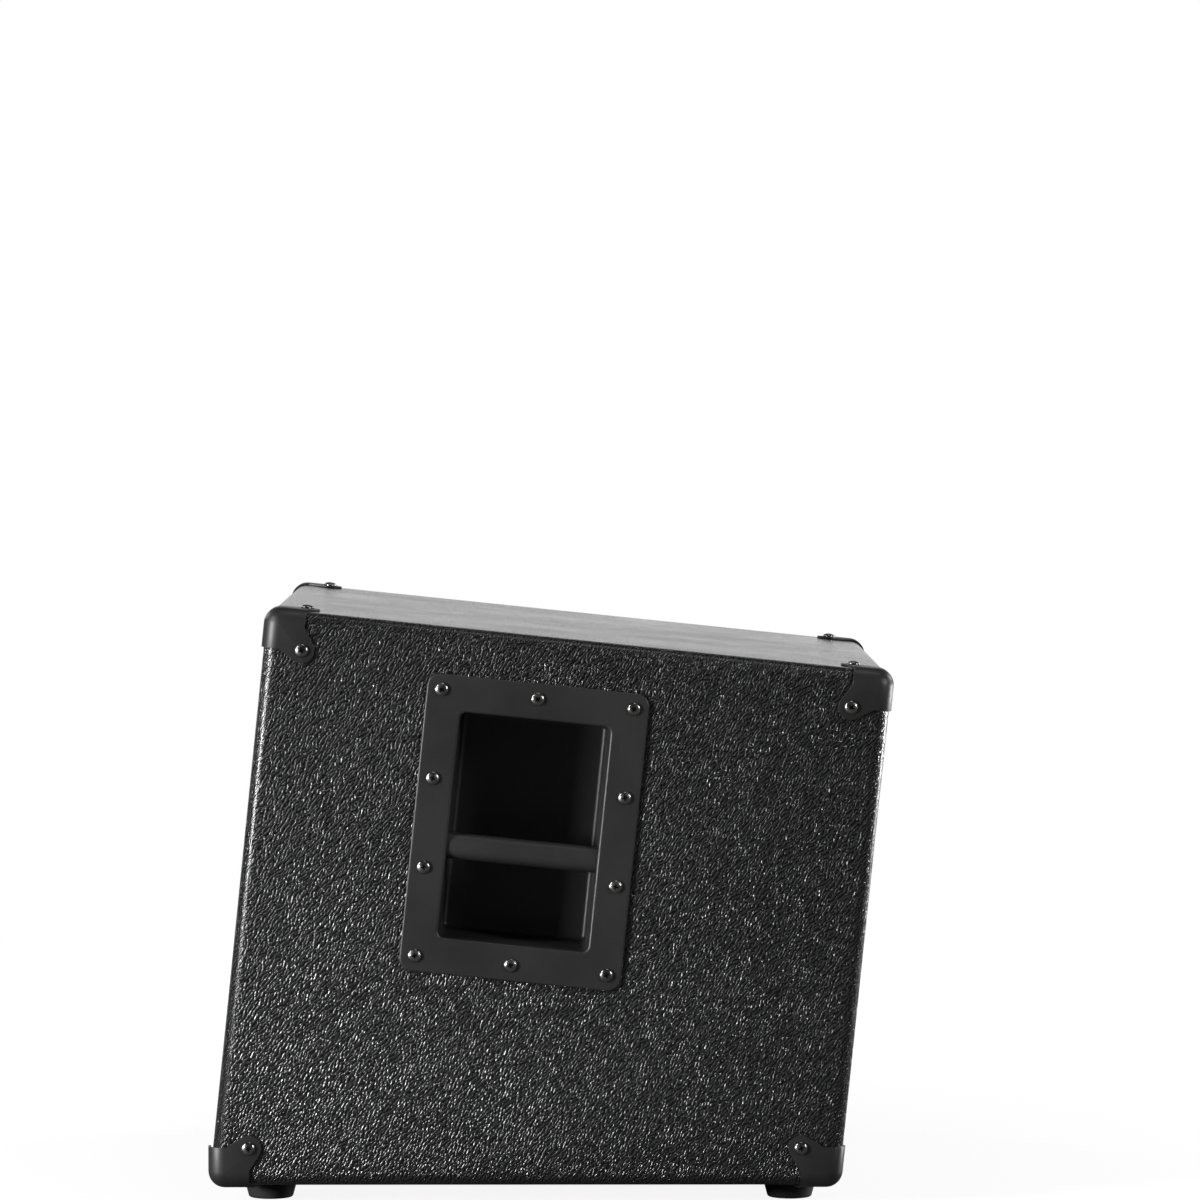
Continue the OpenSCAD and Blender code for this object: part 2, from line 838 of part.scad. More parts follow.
module horn_flare() {
    steps = 12;
    inner = [for (k = [0:steps]) [horn_radius(k / steps), horn_flange_t - horn_depth * (1 - k / steps)]];
    outer = [for (p = inner) [p[0] + horn_wall, min(p[1], 0)]];
    difference() {
        horn_axis() {
            difference() {
                linear_extrude(horn_flange_t) rounded_rect([horn_side, horn_side], 8);
                translate([0, 0, -over]) cylinder(r = horn_mouth_r, h = 10);
            }
            rotate_extrude() polygon([
                each inner, [horn_body_r, horn_flange_t], [horn_body_r, 0],
                for (k = [steps - 1:-1:0]) outer[k]
            ]);
        }
        horn_screw_places() translate([0, 0, -horn_flange_t - over])
            cylinder(r = 1.9, h = horn_flange_t + 2 * over, $fn = 16);
    }
}

module horn_driver() {
    back = horn_flange_t - horn_depth;
    horn_axis() {
        translate([0, 0, back - 8]) cylinder(r = 27, h = 8);
        translate([0, 0, back - 30]) cylinder(r = 38, h = 22);
        translate([0, 0, back - 40]) cylinder(r = 32, h = 10);
    }
}

// Ports: plain tubes with a rounded mouth on a thin flange
module port_tube(z) {
    out_r = port_r + port_wall;
    facing_front(column_x, baffle_recess, z) rotate_extrude() polygon([
        [port_r, -port_length], [out_r, -port_length], [out_r, 0], [port_flange_r, 0], [port_flange_r, 2],
        each arc([port_r + 6, -3], 6, 80, 180, 6)
    ]);
}

// Crossover on the bottom panel, behind the brace
board_y = 340;
board_t = 1.6;
standoff = 6;

module on_bottom_panel(x, y, z) {
    translate([x, y, floor_z(y)]) level() translate([0, 0, z]) children();
}

module crossover_board() {
    on_bottom_panel(0, board_y, 0) {
        translate([-65, -40, standoff]) cube([130, 80, board_t]);
        for (x = [-58, 58], y = [-33, 33]) translate([x, y, 0]) cylinder(r = 3.5, h = standoff);
    }
}

module coil(r, h) {
    ring(r, r * 0.4, 2, h - 2);
    ring(r + 1, r * 0.4, 0, 2);
    ring(r + 1, r * 0.4, h - 2, h);
}

module crossover_coils() {
    on_bottom_panel(0, board_y, standoff + board_t) {
        translate([-40, 10, 0]) coil(19, 22);
        translate([38, -14, 0]) coil(15, 18);
    }
}

module crossover_capacitors() {
    on_bottom_panel(0, board_y, standoff + board_t) {
        for (k = [0:2]) translate([-12 + 17 * k, 8, 8]) rotate([-90, 0, 0]) cylinder(r = 8, h = 28);
        translate([-25, -34, 0]) cube([48, 10, 9]);
    }
}

// Rear input plate with two combination sockets and a level control
plate_screw_length = 12;

module input_plate_screw_places() {
    at = [plate_w / 2 - 6, plate_h / 2 - 6];
    facing_back(0, depth + plate_t, plate_z) for (u = [-1, 0, 1], v = [-1, 1])
        translate([u * at[0], v * at[1], 0]) children();
}

module socket_places(side) {
    facing_back(side < 0 ? 0 : socket_x, depth + plate_t, plate_z) children();
}

module socket_screw_places(side) {
    socket_places(side) for (s = [-1, 1]) translate([9.5 * s, 12 * s, socket_t]) children();
}

module input_plate() {
    difference() {
        facing_back(0, depth, plate_z) difference() {
            linear_extrude(plate_t) rounded_rect([plate_w, plate_h], 8);
            for (x = [0, socket_x]) translate([x, 0, -over]) cylinder(r = 12, h = 4);
            translate([knob_x, 0, -over]) cylinder(r = 4.7, h = 4);
        }
        input_plate_screw_places() small_screw_shank(4);
        for (side = [-1, 1]) socket_screw_places(side) screw_hole(6, 1.3);
    }
}

// Combination socket: a square front, a ring-shaped slot with four keyways and a jack bore in the middle
module socket(side) {
    difference() {
        socket_places(side) difference() {
            union() {
                linear_extrude(socket_t) rounded_rect(socket_flange, 3);
                translate([0, 0, -socket_depth - 2]) cylinder(r = 11.8, h = socket_depth + 2);
                translate([0, 0, socket_t]) cylinder(r = 11.8, h = 1);
            }
            difference() {
                translate([0, 0, -18]) cylinder(r = 10.4, h = 30);
                translate([0, 0, -18 - over]) cylinder(r = 7.6, h = 34);
            }
            for (a = [45, 135, 225, 315])
                rotate(a) translate([7.6, -1, -17]) cube([4, 2, 30]);
            translate([0, 0, -socket_depth + 1]) cylinder(r = jack_r, h = 40);
        }
        socket_screw_places(side) screw_hole(6, 1.3);
    }
}

module socket_screws() {
    for (side = [-1, 1]) socket_screw_places(side) {
        screw_head(2.5, 1.4);
        translate([0, 0, -5]) cylinder(r = 1.3, h = 5, $fn = 16);
    }
}

module input_screws() {
    input_plate_screw_places() small_screw(plate_screw_length);
    socket_screws();
}

module level_axis() {
    facing_back(knob_x, depth + plate_t, plate_z) children();
}

module level_control() {
    level_axis() difference() {
        union() {
            translate([0, 0, -plate_t - 18]) cylinder(r = 14, h = 18);
            translate([0, 0, -plate_t]) cylinder(r = 4.6, h = plate_t + 3);
            cylinder(r = 7, h = 2.2, $fn = 6);
        }
        translate([0, 0, -plate_t - 10]) cylinder(r = shaft_r + 0.06, h = 30);
    }
}

module level_shaft() {
    level_axis() translate([0, 0, -plate_t - 9]) cylinder(r = shaft_r, h = plate_t + 9 + 8);
}

module level_knob() {
    level_axis() difference() {
        union() {
            translate([0, 0, 3.4]) cylinder(r1 = knob_r + 1.5, r2 = knob_r + 0.9, h = 2);
            translate([0, 0, 5.4]) cylinder(r1 = knob_r - 0.8, r2 = knob_r - 1.4, h = 5.1);
        }
        translate([0, 0, 3]) cylinder(r = shaft_r, h = 5);
        for (k = [0:17]) rotate(20 * k)
            translate([knob_r - 0.4, 0, 6.4]) cylinder(r = 0.9, h = 6, $fn = 16);
        translate([-0.6, -knob_r, 9.9]) cube([1.2, 9, 2]);
    }
}

// Wires between the plate, the crossover and the speakers: points on each route, in the box's frame
wire_r = 1.8;
socket_back = depth + plate_t - socket_depth - 2.5;

// Point above the crossover board, whose own x and y run from its middle
function on_board(x, y, up = 0) =
    let (z = standoff + board_t + up)
    [x, board_y + y * cos(tilt) - z * sin(tilt), floor_z(board_y) + y * sin(tilt) + z * cos(tilt)];

input_route = [
    [0, socket_back, plate_z], [0, socket_back - 4, plate_z], [-4, 402, 176], [-26, 396, 130],
    [-46, 390, 90], on_board(-50, 36, 8), on_board(-50, 36)
];
link_route = [
    [socket_x, socket_back, plate_z], [socket_x, socket_back - 4, plate_z], [38, 402, 206],
    [10, 400, 214], [-20, 402, 210], [-40, 408, 198],
    [knob_x, depth - 23, plate_z], [knob_x, depth - 18.5, plate_z]
];
woofer_route = [
    [-54, 102.5, 287], [-54, 102.5, 292], [-54, 106, 302], [-57, 124, 306], [-62, 170, 292],
    [-74, 230, 240], [-78, 290, 160], [-66, 310, 96], on_board(-50, -22, 8), on_board(-50, -22)
];
horn_route = [
    [160, 124, 110], [160, 130, 110], [158, 160, 112], [150, 210, 112], [130, 256, 110], [104, 300, 104],
    [74, 340, 88], on_board(52, 16, 8), on_board(52, 16)
];

function spline_point(p, i, f) =
    let (a = p[max(i - 1, 0)], b = p[i], c = p[i + 1], d = p[min(i + 2, len(p) - 1)])
    0.5 * (2 * b + (c - a) * f + (2 * a - 5 * b + 4 * c - d) * f * f + (3 * b - a - 3 * c + d) * f * f * f);

function spline(p, per) = [
    for (i = [0:len(p) - 2]) for (k = [0:per - 1]) spline_point(p, i, k / per),
    p[len(p) - 1]
];

// Tube along a line of points, with its first ring square to the x axis's side
module tube(line, r, sides = 8) {
    count = len(line);
    function along(i) = let (d = line[min(i + 1, count - 1)] - line[max(i - 1, 0)]) d / norm(d);
    function across(i) = let (s = cross(along(i), [1, 0, 0.02])) s / norm(s);
    rings = [
        for (i = [0:count - 1]) for (k = [0:sides - 1])
            let (a = 360 * k / sides, s = across(i), u = cross(s, along(i)))
            line[i] + r * (cos(a) * s + sin(a) * u)
    ];
    polyhedron(rings, [
        [for (k = [0:sides - 1]) k],
        for (i = [0:count - 2]) for (k = [0:sides - 1]) each [
            [i * sides + k, (i + 1) * sides + k, i * sides + (k + 1) % sides],
            [(i + 1) * sides + k, (i + 1) * sides + (k + 1) % sides, i * sides + (k + 1) % sides]
        ],
        [for (k = [sides - 1:-1:0]) (count - 1) * sides + k]
    ]);
}

leaned_back() {
    for (side = [-1, 1]) {
        end = side < 0 ? "left" : "right";
        color(wood_colour) on_side(side) side_panel();
        color(moulding_colour) on_side(side) handle_tray();
        color(moulding_colour) on_side(side) handle_bar();
        for (level_name = ["top", "bottom"], face = ["front", "back"])
            at_corner(side, face, level_name)
                    corner_cap(level_name == "bottom" && face == "back" ? tilt : 0);
        for (face = ["front", "back"])
            color(rubber_colour) foot(side, face == "front");
        color(moulding_colour) socket(side);
    }
    color(wood_colour) top_panel();
    color(wood_colour) bottom_panel();
    color(wood_colour) back_panel();
    color(black_paint_colour) baffle_board();
    color(wood_colour) window_brace();
    color(wood_colour) battens();
    color(vinyl_colour) covering();
    color(steel_colour)  // corner_screws
        all_cap_screw_places([-1, 1], ["side", "top", "bottom"]) wood_screw(cap_screw_length);
    color(steel_colour)  // handle_screws
        for (side = [-1, 1]) on_side(side) handle_screw_places() wood_screw(handle_screw_length);
    color(steel_colour) foot_screws();
    color(black_paint_colour) grille();
    color(black_paint_colour)  // grille_screws
        grille_screw_places() small_screw(grille_screw_length);
    color(black_paint_colour) woofer_basket();
    color(rubber_colour) woofer_gasket();
    color(steel_colour) woofer_top_plate();
    color(steel_colour) woofer_magnet();
    color(steel_colour) woofer_back_plate();
    color(paper_colour) woofer_cone();
    color(rubber_colour) woofer_surround();
    color(paper_colour) woofer_dust_cap();
    color(copper_colour) woofer_voice_coil();
    color(wood_colour) woofer_spider();
    color(copper_colour) woofer_terminals();
    color(black_paint_colour) woofer_bolts();
    color(moulding_colour) horn_flare();
    color(steel_colour) horn_driver();
    color(black_paint_colour)  // horn_screws
        horn_screw_places() small_screw(plate_screw_length);
    color(moulding_colour) port_tube(port_upper_z);  // port_tube_upper
    color(moulding_colour) port_tube(port_lower_z);  // port_tube_lower
    color(board_colour) crossover_board();
    color(copper_colour) crossover_coils();
    color(rubber_colour) crossover_capacitors();
    color(black_paint_colour) input_plate();
    color(steel_colour) level_control();
    color(steel_colour) level_shaft();
    color(moulding_colour) level_knob();
    color(steel_colour) input_screws();
    color(wire_colour) {  // input_wires
        tube(spline(input_route, 3), wire_r);
        tube(spline(link_route, 3), wire_r);
    }
    color(wire_colour) tube(spline(woofer_route, 3), wire_r);  // woofer_wire
    color(wire_colour) tube(spline(horn_route, 3), wire_r);  // horn_wire
}
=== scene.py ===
"""Slanted bass speaker cabinet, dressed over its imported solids."""

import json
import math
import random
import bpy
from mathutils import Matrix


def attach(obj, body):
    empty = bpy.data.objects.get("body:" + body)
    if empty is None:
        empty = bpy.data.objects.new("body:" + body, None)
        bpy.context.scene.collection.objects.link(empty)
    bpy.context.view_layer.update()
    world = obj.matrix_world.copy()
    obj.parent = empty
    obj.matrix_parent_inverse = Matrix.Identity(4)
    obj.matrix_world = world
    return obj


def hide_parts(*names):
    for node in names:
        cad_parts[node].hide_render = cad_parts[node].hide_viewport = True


bl_info = {
    "name": "Slanted bass cabinet",
    "version": (1, 0, 0),
    "blender": (4, 5, 0),
    "location": "View3D > Sidebar > Cabinet",
    "description": "Builds the covering, fittings, grille and finishes of a slanted bass cabinet",
    "category": "Object",
}

import bmesh
import bpy
from bpy.props import FloatProperty, FloatVectorProperty, IntProperty, PointerProperty
from mathutils import Matrix, Vector

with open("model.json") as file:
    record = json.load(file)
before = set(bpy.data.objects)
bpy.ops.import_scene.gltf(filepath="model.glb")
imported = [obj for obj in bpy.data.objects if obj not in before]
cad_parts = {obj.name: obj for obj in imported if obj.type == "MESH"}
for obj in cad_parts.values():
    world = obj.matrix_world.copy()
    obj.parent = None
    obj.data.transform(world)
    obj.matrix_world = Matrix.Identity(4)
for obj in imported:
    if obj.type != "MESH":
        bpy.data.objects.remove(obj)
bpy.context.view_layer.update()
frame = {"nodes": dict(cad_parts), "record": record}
CABINET = "cabinet"
SIDES = (("left", -1), ("right", 1))
# Room between a corner cap and the covering
CAP_GAP = 0.0001


class CabinetSizes(bpy.types.PropertyGroup):
    """Sizes of the box and its fittings"""

    width: FloatProperty(name="Width", description="Across the side faces", default=0.47, unit="LENGTH")
    depth: FloatProperty(name="Depth", description="Square to the front", default=0.44, unit="LENGTH")
    front_height: FloatProperty(
        name="Front height", description="Along the sloping front", default=0.408, unit="LENGTH"
    )
    lean: FloatProperty(
        name="Lean", description="How far the box leans back", default=math.radians(5.9), subtype="ANGLE"
    )
    edge_radius: FloatProperty(
        name="Edge radius", description="Rounding of the outer edges", default=0.010, unit="LENGTH"
    )
    skin: FloatProperty(name="Covering", description="Thickness of the vinyl", default=0.0008, unit="LENGTH")
    panel: FloatProperty(name="Panel", description="Thickness of the plywood", default=0.015, unit="LENGTH")
    foot_height: FloatProperty(
        name="Foot height", description="Height of the rubber feet", default=0.015, unit="LENGTH"
    )
    board_recess: FloatProperty(
        name="Board recess", description="Speaker board behind the front face", default=0.032, unit="LENGTH"
    )
    plate_width: FloatProperty(
        name="Rear plate width", description="Width of the input plate", default=0.150, unit="LENGTH"
    )
    plate_height: FloatProperty(
        name="Rear plate height", description="Height of the input plate", default=0.090, unit="LENGTH"
    )
    plate_centre: FloatProperty(
        name="Rear plate centre", description="Height along the back", default=0.190, unit="LENGTH"
    )


class FittingSizes(bpy.types.PropertyGroup):
    """Sizes of the handles, corner caps, screws and grille"""

    handle_y: FloatProperty(
        name="Handle from front", description="Its middle behind the front", default=0.1946, unit="LENGTH"
    )
    handle_drop: FloatProperty(
        name="Handle drop", description="Middle of the handle below the top", default=0.1376, unit="LENGTH"
    )
    flange_width: FloatProperty(
        name="Flange width", description="Width of the handle's flange", default=0.156, unit="LENGTH"
    )
    flange_height: FloatProperty(
        name="Flange height", description="Height of the handle's flange", default=0.2095, unit="LENGTH"
    )
    flange_thickness: FloatProperty(
        name="Flange thickness", description="How far the flange stands out", default=0.0024, unit="LENGTH"
    )
    mouth_width: FloatProperty(
        name="Mouth width", description="Width of the recess", default=0.1055, unit="LENGTH"
    )
    mouth_height: FloatProperty(
        name="Mouth height", description="Height of the recess", default=0.1585, unit="LENGTH"
    )
    recess_depth: FloatProperty(
        name="Recess depth", description="Depth of the recess's outside", default=0.062, unit="LENGTH"
    )
    bar_height: FloatProperty(
        name="Bar height", description="Height of the carrying bar", default=0.0182, unit="LENGTH"
    )
    bar_drop: FloatProperty(
        name="Bar drop", description="Bar below the middle of the mouth", default=0.0149, unit="LENGTH"
    )
    cap_leg: FloatProperty(name="Cap leg", description="Length of the legs", default=0.0275, unit="LENGTH")
    cap_web: FloatProperty(name="Cap web", description="Width of a cap's legs", default=0.011, unit="LENGTH")
    cap_lobe: FloatProperty(name="Cap lobe", description="Radius at the screw", default=0.009, unit="LENGTH")
    cap_screw: FloatProperty(
        name="Cap screw", description="Screw's distance from the edges", default=0.027, unit="LENGTH"
    )
    cap_wall: FloatProperty(name="Cap wall", description="Thickness of a cap", default=0.0016, unit="LENGTH")
    screw_head: FloatProperty(
        name="Screw head", description="Radius of the screw heads", default=0.00475, unit="LENGTH"
    )
    screw_rise: FloatProperty(
        name="Screw rise", description="Height of the screw heads", default=0.0026, unit="LENGTH"
    )
    screw_seed: IntProperty(name="Screw turns", description="Seed for the turn of each cross", default=7)
    hole_pitch: FloatProperty(
        name="Hole pitch", description="Pitch of the grille's holes", default=0.009, unit="LENGTH"
    )
    hole_bridge: FloatProperty(
        name="Hole bridge", description="Metal between two holes", default=0.0022, unit="LENGTH"
    )


class CabinetLooks(bpy.types.PropertyGroup):
    """Colours and grain of the finishes"""

    vinyl_colour: FloatVectorProperty(
        name="Vinyl", description="Colour of the covering", default=(0.022, 0.022, 0.022), subtype="COLOR"
    )
    ridge_pitch: FloatProperty(
        name="Ridge pitch", description="From ridge to ridge in the vinyl", default=0.0024, unit="LENGTH"
    )
    ridge_depth: FloatProperty(
        name="Ridge depth", description="Depth of the creases between ridges", default=0.00033, unit="LENGTH"
    )
    ridge_slant: FloatProperty(
        name="Ridge slant", description="Lean from upright", default=math.radians(27), subtype="ANGLE"
    )
    moulding_colour: FloatVectorProperty(
        name="Mouldings", description="Caps and handles", default=(0.024, 0.024, 0.024), subtype="COLOR"
    )
    rubber_colour: FloatVectorProperty(
        name="Rubber", description="Colour of feet and gaskets", default=(0.01, 0.01, 0.01), subtype="COLOR"
    )
    steel_colour: FloatVectorProperty(
        name="Steel", description="Colour of bare steel", default=(0.34, 0.34, 0.33), subtype="COLOR"
    )
    wood_colour: FloatVectorProperty(
        name="Plywood", description="Colour of bare plywood", default=(0.62, 0.45, 0.28), subtype="COLOR"
    )
    floor_colour: FloatVectorProperty(
        name="Floor", description="Colour of floor and backdrop", default=(0.12, 0.12, 0.12), subtype="COLOR"
    )
    floor_glow: FloatProperty(
        name="Floor glow", description="White added where the floor is seen", default=0.9, subtype="FACTOR"
    )
    room_light: FloatProperty(
        name="Room light", description="Light of the room on the cabinet", default=0.05, subtype="FACTOR"
    )


def sizes():
    return bpy.context.scene.cabinet_sizes


def fittings():
    return bpy.context.scene.cabinet_fittings


def looks():
    return bpy.context.scene.cabinet_looks


def turned(degrees, axis):
    return Matrix.Rotation(math.radians(degrees), 4, axis)


def at(x, y, z):
    return Matrix.Translation((x, y, z))


def mirrored(x=1, y=1, z=1):
    return Matrix.Diagonal((x, y, z, 1))


def leaned_back():
    """Upright box, front at y = 0, to its place on the feet."""
    s = sizes()
    reach = s.depth * math.cos(s.lean) + s.front_height * math.sin(s.lean)
    return at(0, -reach / 2, s.foot_height) @ Matrix.Rotation(-s.lean, 4, "X")


def bottom_height(y, inset=0.0):
    s = sizes()
    return y * math.tan(s.lean) + inset / math.cos(s.lean)


def corner_place(side, end, level):
    """Frame at a corner of the box whose three faces run away along +x, +y and +z."""
    s = sizes()
    place = leaned_back() @ mirrored(x=side) @ at(s.width / 2, 0, 0) @ mirrored(x=-1)
    if level == "top":
        if end == "front":
            return place @ at(0, 0, s.front_height) @ mirrored(z=-1)
        return place @ at(0, s.depth, s.front_height) @ mirrored(y=-1, z=-1)
    place = place @ Matrix.Rotation(s.lean, 4, "X")
    if end == "front":
        shift = s.edge_radius * (1 / math.cos(s.lean) + math.tan(s.lean) - 1)
        return place @ at(0, shift, 0)
    return place @ at(0, s.depth / math.cos(s.lean), 0) @ mirrored(y=-1)


def handle_place(side):
    """Frame in the middle of a handle, on the side face, with z pointing out of it."""
    s, f = sizes(), fittings()
    middle = at(s.width / 2, f.handle_y, s.front_height - f.handle_drop)
    return leaned_back() @ mirrored(x=side) @ middle @ turned(90, "Z") @ turned(90, "X")


def corners():
    for side_name, side in SIDES:
        for end in ("front", "back"):
            for level in ("top", "bottom"):
                yield side_name, side, end, level


def shape_ring(ring, width, height, radius, z):
    """Moves a ring of vertices onto a rounded rectangle at height z."""
    steps = len(ring) // 4
    for i, vert in enumerate(ring):
        quarter, step = divmod(i, steps)
        angle = math.radians(90 * (quarter + step / (steps - 1)))
        across = (width / 2 - radius) * (1 if quarter in (0, 3) else -1)
        up = (height / 2 - radius) * (1 if quarter < 2 else -1)
        vert.co = (across + radius * math.cos(angle), up + radius * math.sin(angle), z)


def loft(bm, sections, steps=8):
    """Extrudes a ring through a row of rounded rectangles and closes its two ends."""
    ring = bmesh.ops.create_circle(bm, segments=4 * (steps + 1), radius=1)["verts"]
    ring.sort(key=lambda v: math.atan2(v.co.y, v.co.x) % (2 * math.pi - 1e-4))
    edges = list({e for v in ring for e in v.link_edges})
    shape_ring(ring, *sections[0])
    bmesh.ops.holes_fill(bm, edges=edges)
    for spec in sections[1:]:
        order = {v: i for i, v in enumerate(ring)}
        grown = bmesh.ops.extrude_edge_only(bm, edges=edges)["geom"]
        ring = [None] * len(ring)
        for vert in (v for v in grown if isinstance(v, bmesh.types.BMVert)):
            before = next(e.other_vert(vert) for e in vert.link_edges if e.other_vert(vert) in order)
            ring[order[before]] = vert
        shape_ring(ring, *spec)
        new = set(ring)
        edges = [e for e in grown if isinstance(e, bmesh.types.BMEdge) and set(e.verts) <= new]
    bmesh.ops.holes_fill(bm, edges=edges)


def revolve(bm, profile, segments):
    """Turns a profile of (radius, height) points about z."""
    line = [bm.verts.new((r, 0, z)) for r, z in profile]
    edges = [bm.edges.new(pair) for pair in zip(line, line[1:])]
    bmesh.ops.spin(
        bm, geom=line + edges, cent=(0, 0, 0), axis=(0, 0, 1), angle=2 * math.pi,
        steps=segments, use_merge=True,
    )
    bmesh.ops.remove_doubles(bm, verts=bm.verts, dist=1e-6)


def rounded_block(bm, corners_yz, low_x, high_x, radius, ends, steps=8):
    """Prism over four (y, z) corners with its long edges rounded, and its ends too where ends says so."""
    ring = [bm.verts.new((low_x, y, z)) for y, z in corners_yz]
    start = bm.faces.new(ring)
    grown = bmesh.ops.extrude_face_region(bm, geom=[start])["geom"]
    top = [v for v in grown if isinstance(v, bmesh.types.BMVert)]
    bmesh.ops.translate(bm, verts=top, vec=(high_x - low_x, 0, 0))
    bmesh.ops.recalc_face_normals(bm, faces=bm.faces)
    middles = [Vector((0, y, z)) for y, z in corners_yz]
    for i, here in enumerate(middles):
        before, after = middles[i - 1] - here, middles[(i + 1) % 4] - here
        opening = before.angle(after)
        long_edges = [
            e for e in bm.edges
            if all(abs(v.co.y - here.y) < 1e-7 and abs(v.co.z - here.z) < 1e-7 for v in e.verts)
        ]
        bmesh.ops.bevel(
            bm, geom=long_edges, offset=radius / math.tan(opening / 2), offset_type="OFFSET", segments=steps,
            profile=0.5, affect="EDGES", material=-1, clamp_overlap=False,
        )
    for x in ends:
        rim = [e for e in bm.edges if all(abs(v.co.x - x) < 1e-7 for v in e.verts)]
        bmesh.ops.bevel(
            bm, geom=rim, offset=radius * 0.999, offset_type="OFFSET", segments=steps, profile=0.5,
            affect="EDGES", material=-1, clamp_overlap=False,
        )
    bmesh.ops.remove_doubles(bm, verts=bm.verts, dist=2e-5)


def mesh_from(bm, name):
    """A mesh out of a bmesh, its faces pointing outwards."""
    mesh = bpy.data.meshes.new(name)
    bmesh.ops.recalc_face_normals(bm, faces=bm.faces)
    bm.to_mesh(mesh)
    bm.free()
    return mesh


def linked(name, data):
    """A new object in the scene that holds the data."""
    obj = bpy.data.objects.new(name, data)
    bpy.context.scene.collection.objects.link(obj)
    return obj


def scratch_object(name, bm):
    """An object for cutting with, removed again by cut."""
    return linked(name, mesh_from(bm, name))


def cut(obj, steps, bevel=0.0, bevel_angle=40, bevel_segments=2):
    """Applies Boolean steps of (operation, cutter), softens hard edges and returns the new mesh."""
    for i, (operation, cutter) in enumerate(steps):
        modifier = obj.modifiers.new(f"step {i}", "BOOLEAN")
        modifier.operation = operation
        modifier.solver = "MANIFOLD"
        modifier.object = cutter
    if bevel:
        modifier = obj.modifiers.new("soft edges", "BEVEL")
        modifier.width = bevel
        modifier.segments = bevel_segments
        modifier.limit_method = "ANGLE"
        modifier.angle_limit = math.radians(bevel_angle)
        modifier.use_clamp_overlap = True
    graph = bpy.context.evaluated_depsgraph_get()
    mesh = bpy.data.meshes.new_from_object(obj.evaluated_get(graph))
    for other in {obj, *(cutter for _, cutter in steps)}:
        old = other.data
        bpy.data.objects.remove(other)
        bpy.data.meshes.remove(old)
    return mesh


def placed(mesh, place):
    """Moves a mesh to its place, turning it right side out where the place mirrors it."""
    mesh.transform(place)
    if place.determinant() < 0:
        mesh.flip_normals()
    return mesh


def add_piece(name, mesh, material, body, stands_for=(), sharp=35):
    """Links a finished mesh as a piece that rides on a body."""
    for polygon in mesh.polygons:
        polygon.use_smooth = True
    mesh.set_sharp_from_angle(angle=math.radians(sharp))
    mesh.materials.clear()
    mesh.materials.append(material)
    obj = linked(name, mesh)
    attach(obj, body)
    if stands_for:
        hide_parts(*stands_for)


def joined(name, meshes):
    """One mesh out of several."""
    bm = bmesh.new()
    for mesh in meshes:
        bm.from_mesh(mesh)
        bpy.data.meshes.remove(mesh)
    mesh = bpy.data.meshes.new(name)
    bm.to_mesh(mesh)
    bm.free()
    return mesh


class Finish:
    """Builds one material from its nodes."""

    def __init__(self, name):
        self.material = bpy.data.materials.new(name)
        self.material.use_nodes = True
        self.tree = self.material.node_tree
        self.shader = self.tree.nodes["Principled BSDF"]
        self.point = self.node("ShaderNodeTexCoord").outputs["Object"]

    def node(self, kind, **values):
        made = self.tree.nodes.new(kind)
        for key, value in values.items():
            setattr(made, key, value)
        return made

    def link(self, source, target):
        self.tree.links.new(source, target)

    def mapped(self, scale=(1, 1, 1), rotation=(0, 0, 0), source=None):
        mapping = self.node("ShaderNodeMapping")
        mapping.inputs["Scale"].default_value = scale
        mapping.inputs["Rotation"].default_value = rotation
        self.link(source or self.point, mapping.inputs["Vector"])
        return mapping.outputs["Vector"]

    def noise(self, scale, detail=2.0, roughness=0.5, source=None, distortion=0.0):
        noise = self.node("ShaderNodeTexNoise")
        noise.inputs["Scale"].default_value = scale
        noise.inputs["Detail"].default_value = detail
        noise.inputs["Roughness"].default_value = roughness
        noise.inputs["Distortion"].default_value = distortion
        self.link(source or self.point, noise.inputs["Vector"])
        return noise.outputs["Fac"]

    def ramp(self, source, low, high, to_low=0.0, to_high=1.0):
        ranged = self.node("ShaderNodeMapRange", interpolation_type="SMOOTHSTEP")
        for name, value in (("From Min", low), ("From Max", high), ("To Min", to_low), ("To Max", to_high)):
            ranged.inputs[name].default_value = value
        self.link(source, ranged.inputs["Value"])
        return ranged.outputs["Result"]

    def maths(self, operation, one, two=0.0):
        maths = self.node("ShaderNodeMath", operation=operation)
        for socket, value in zip(maths.inputs, (one, two)):
            if isinstance(value, (int, float)):
                socket.default_value = value
            else:
                self.link(value, socket)
        return maths.outputs[0]

    def mix(self, factor, one, two):
        mix = self.node("ShaderNodeMix", data_type="RGBA")
        self.link(factor, mix.inputs["Factor"])
        mix.inputs["A"].default_value = (*one, 1)
        mix.inputs["B"].default_value = (*two, 1)
        return mix.outputs["Result"]

    def bump(self, height, distance, strength=1.0):
        bump = self.node("ShaderNodeBump")
        bump.inputs["Strength"].default_value = strength
        bump.inputs["Distance"].default_value = distance
        self.link(height, bump.inputs["Height"])
        return bump.outputs["Normal"]

    def dress(self, colour=None, roughness=None, normal=None, **fixed):
        for name, value in (("Base Color", colour), ("Roughness", roughness), ("Normal", normal)):
            if value is None:
                continue
            if isinstance(value, (int, float)):
                self.shader.inputs[name].default_value = value
            elif isinstance(value, (tuple, list)):
                self.shader.inputs[name].default_value = (*value, 1)
            else:
                self.link(value, self.shader.inputs[name])
        for name, value in fixed.items():
            self.shader.inputs[name.replace("_", " ")].default_value = value
        return self.material


def shade(colour, factor):
    return tuple(min(1.0, c * factor) for c in colour)


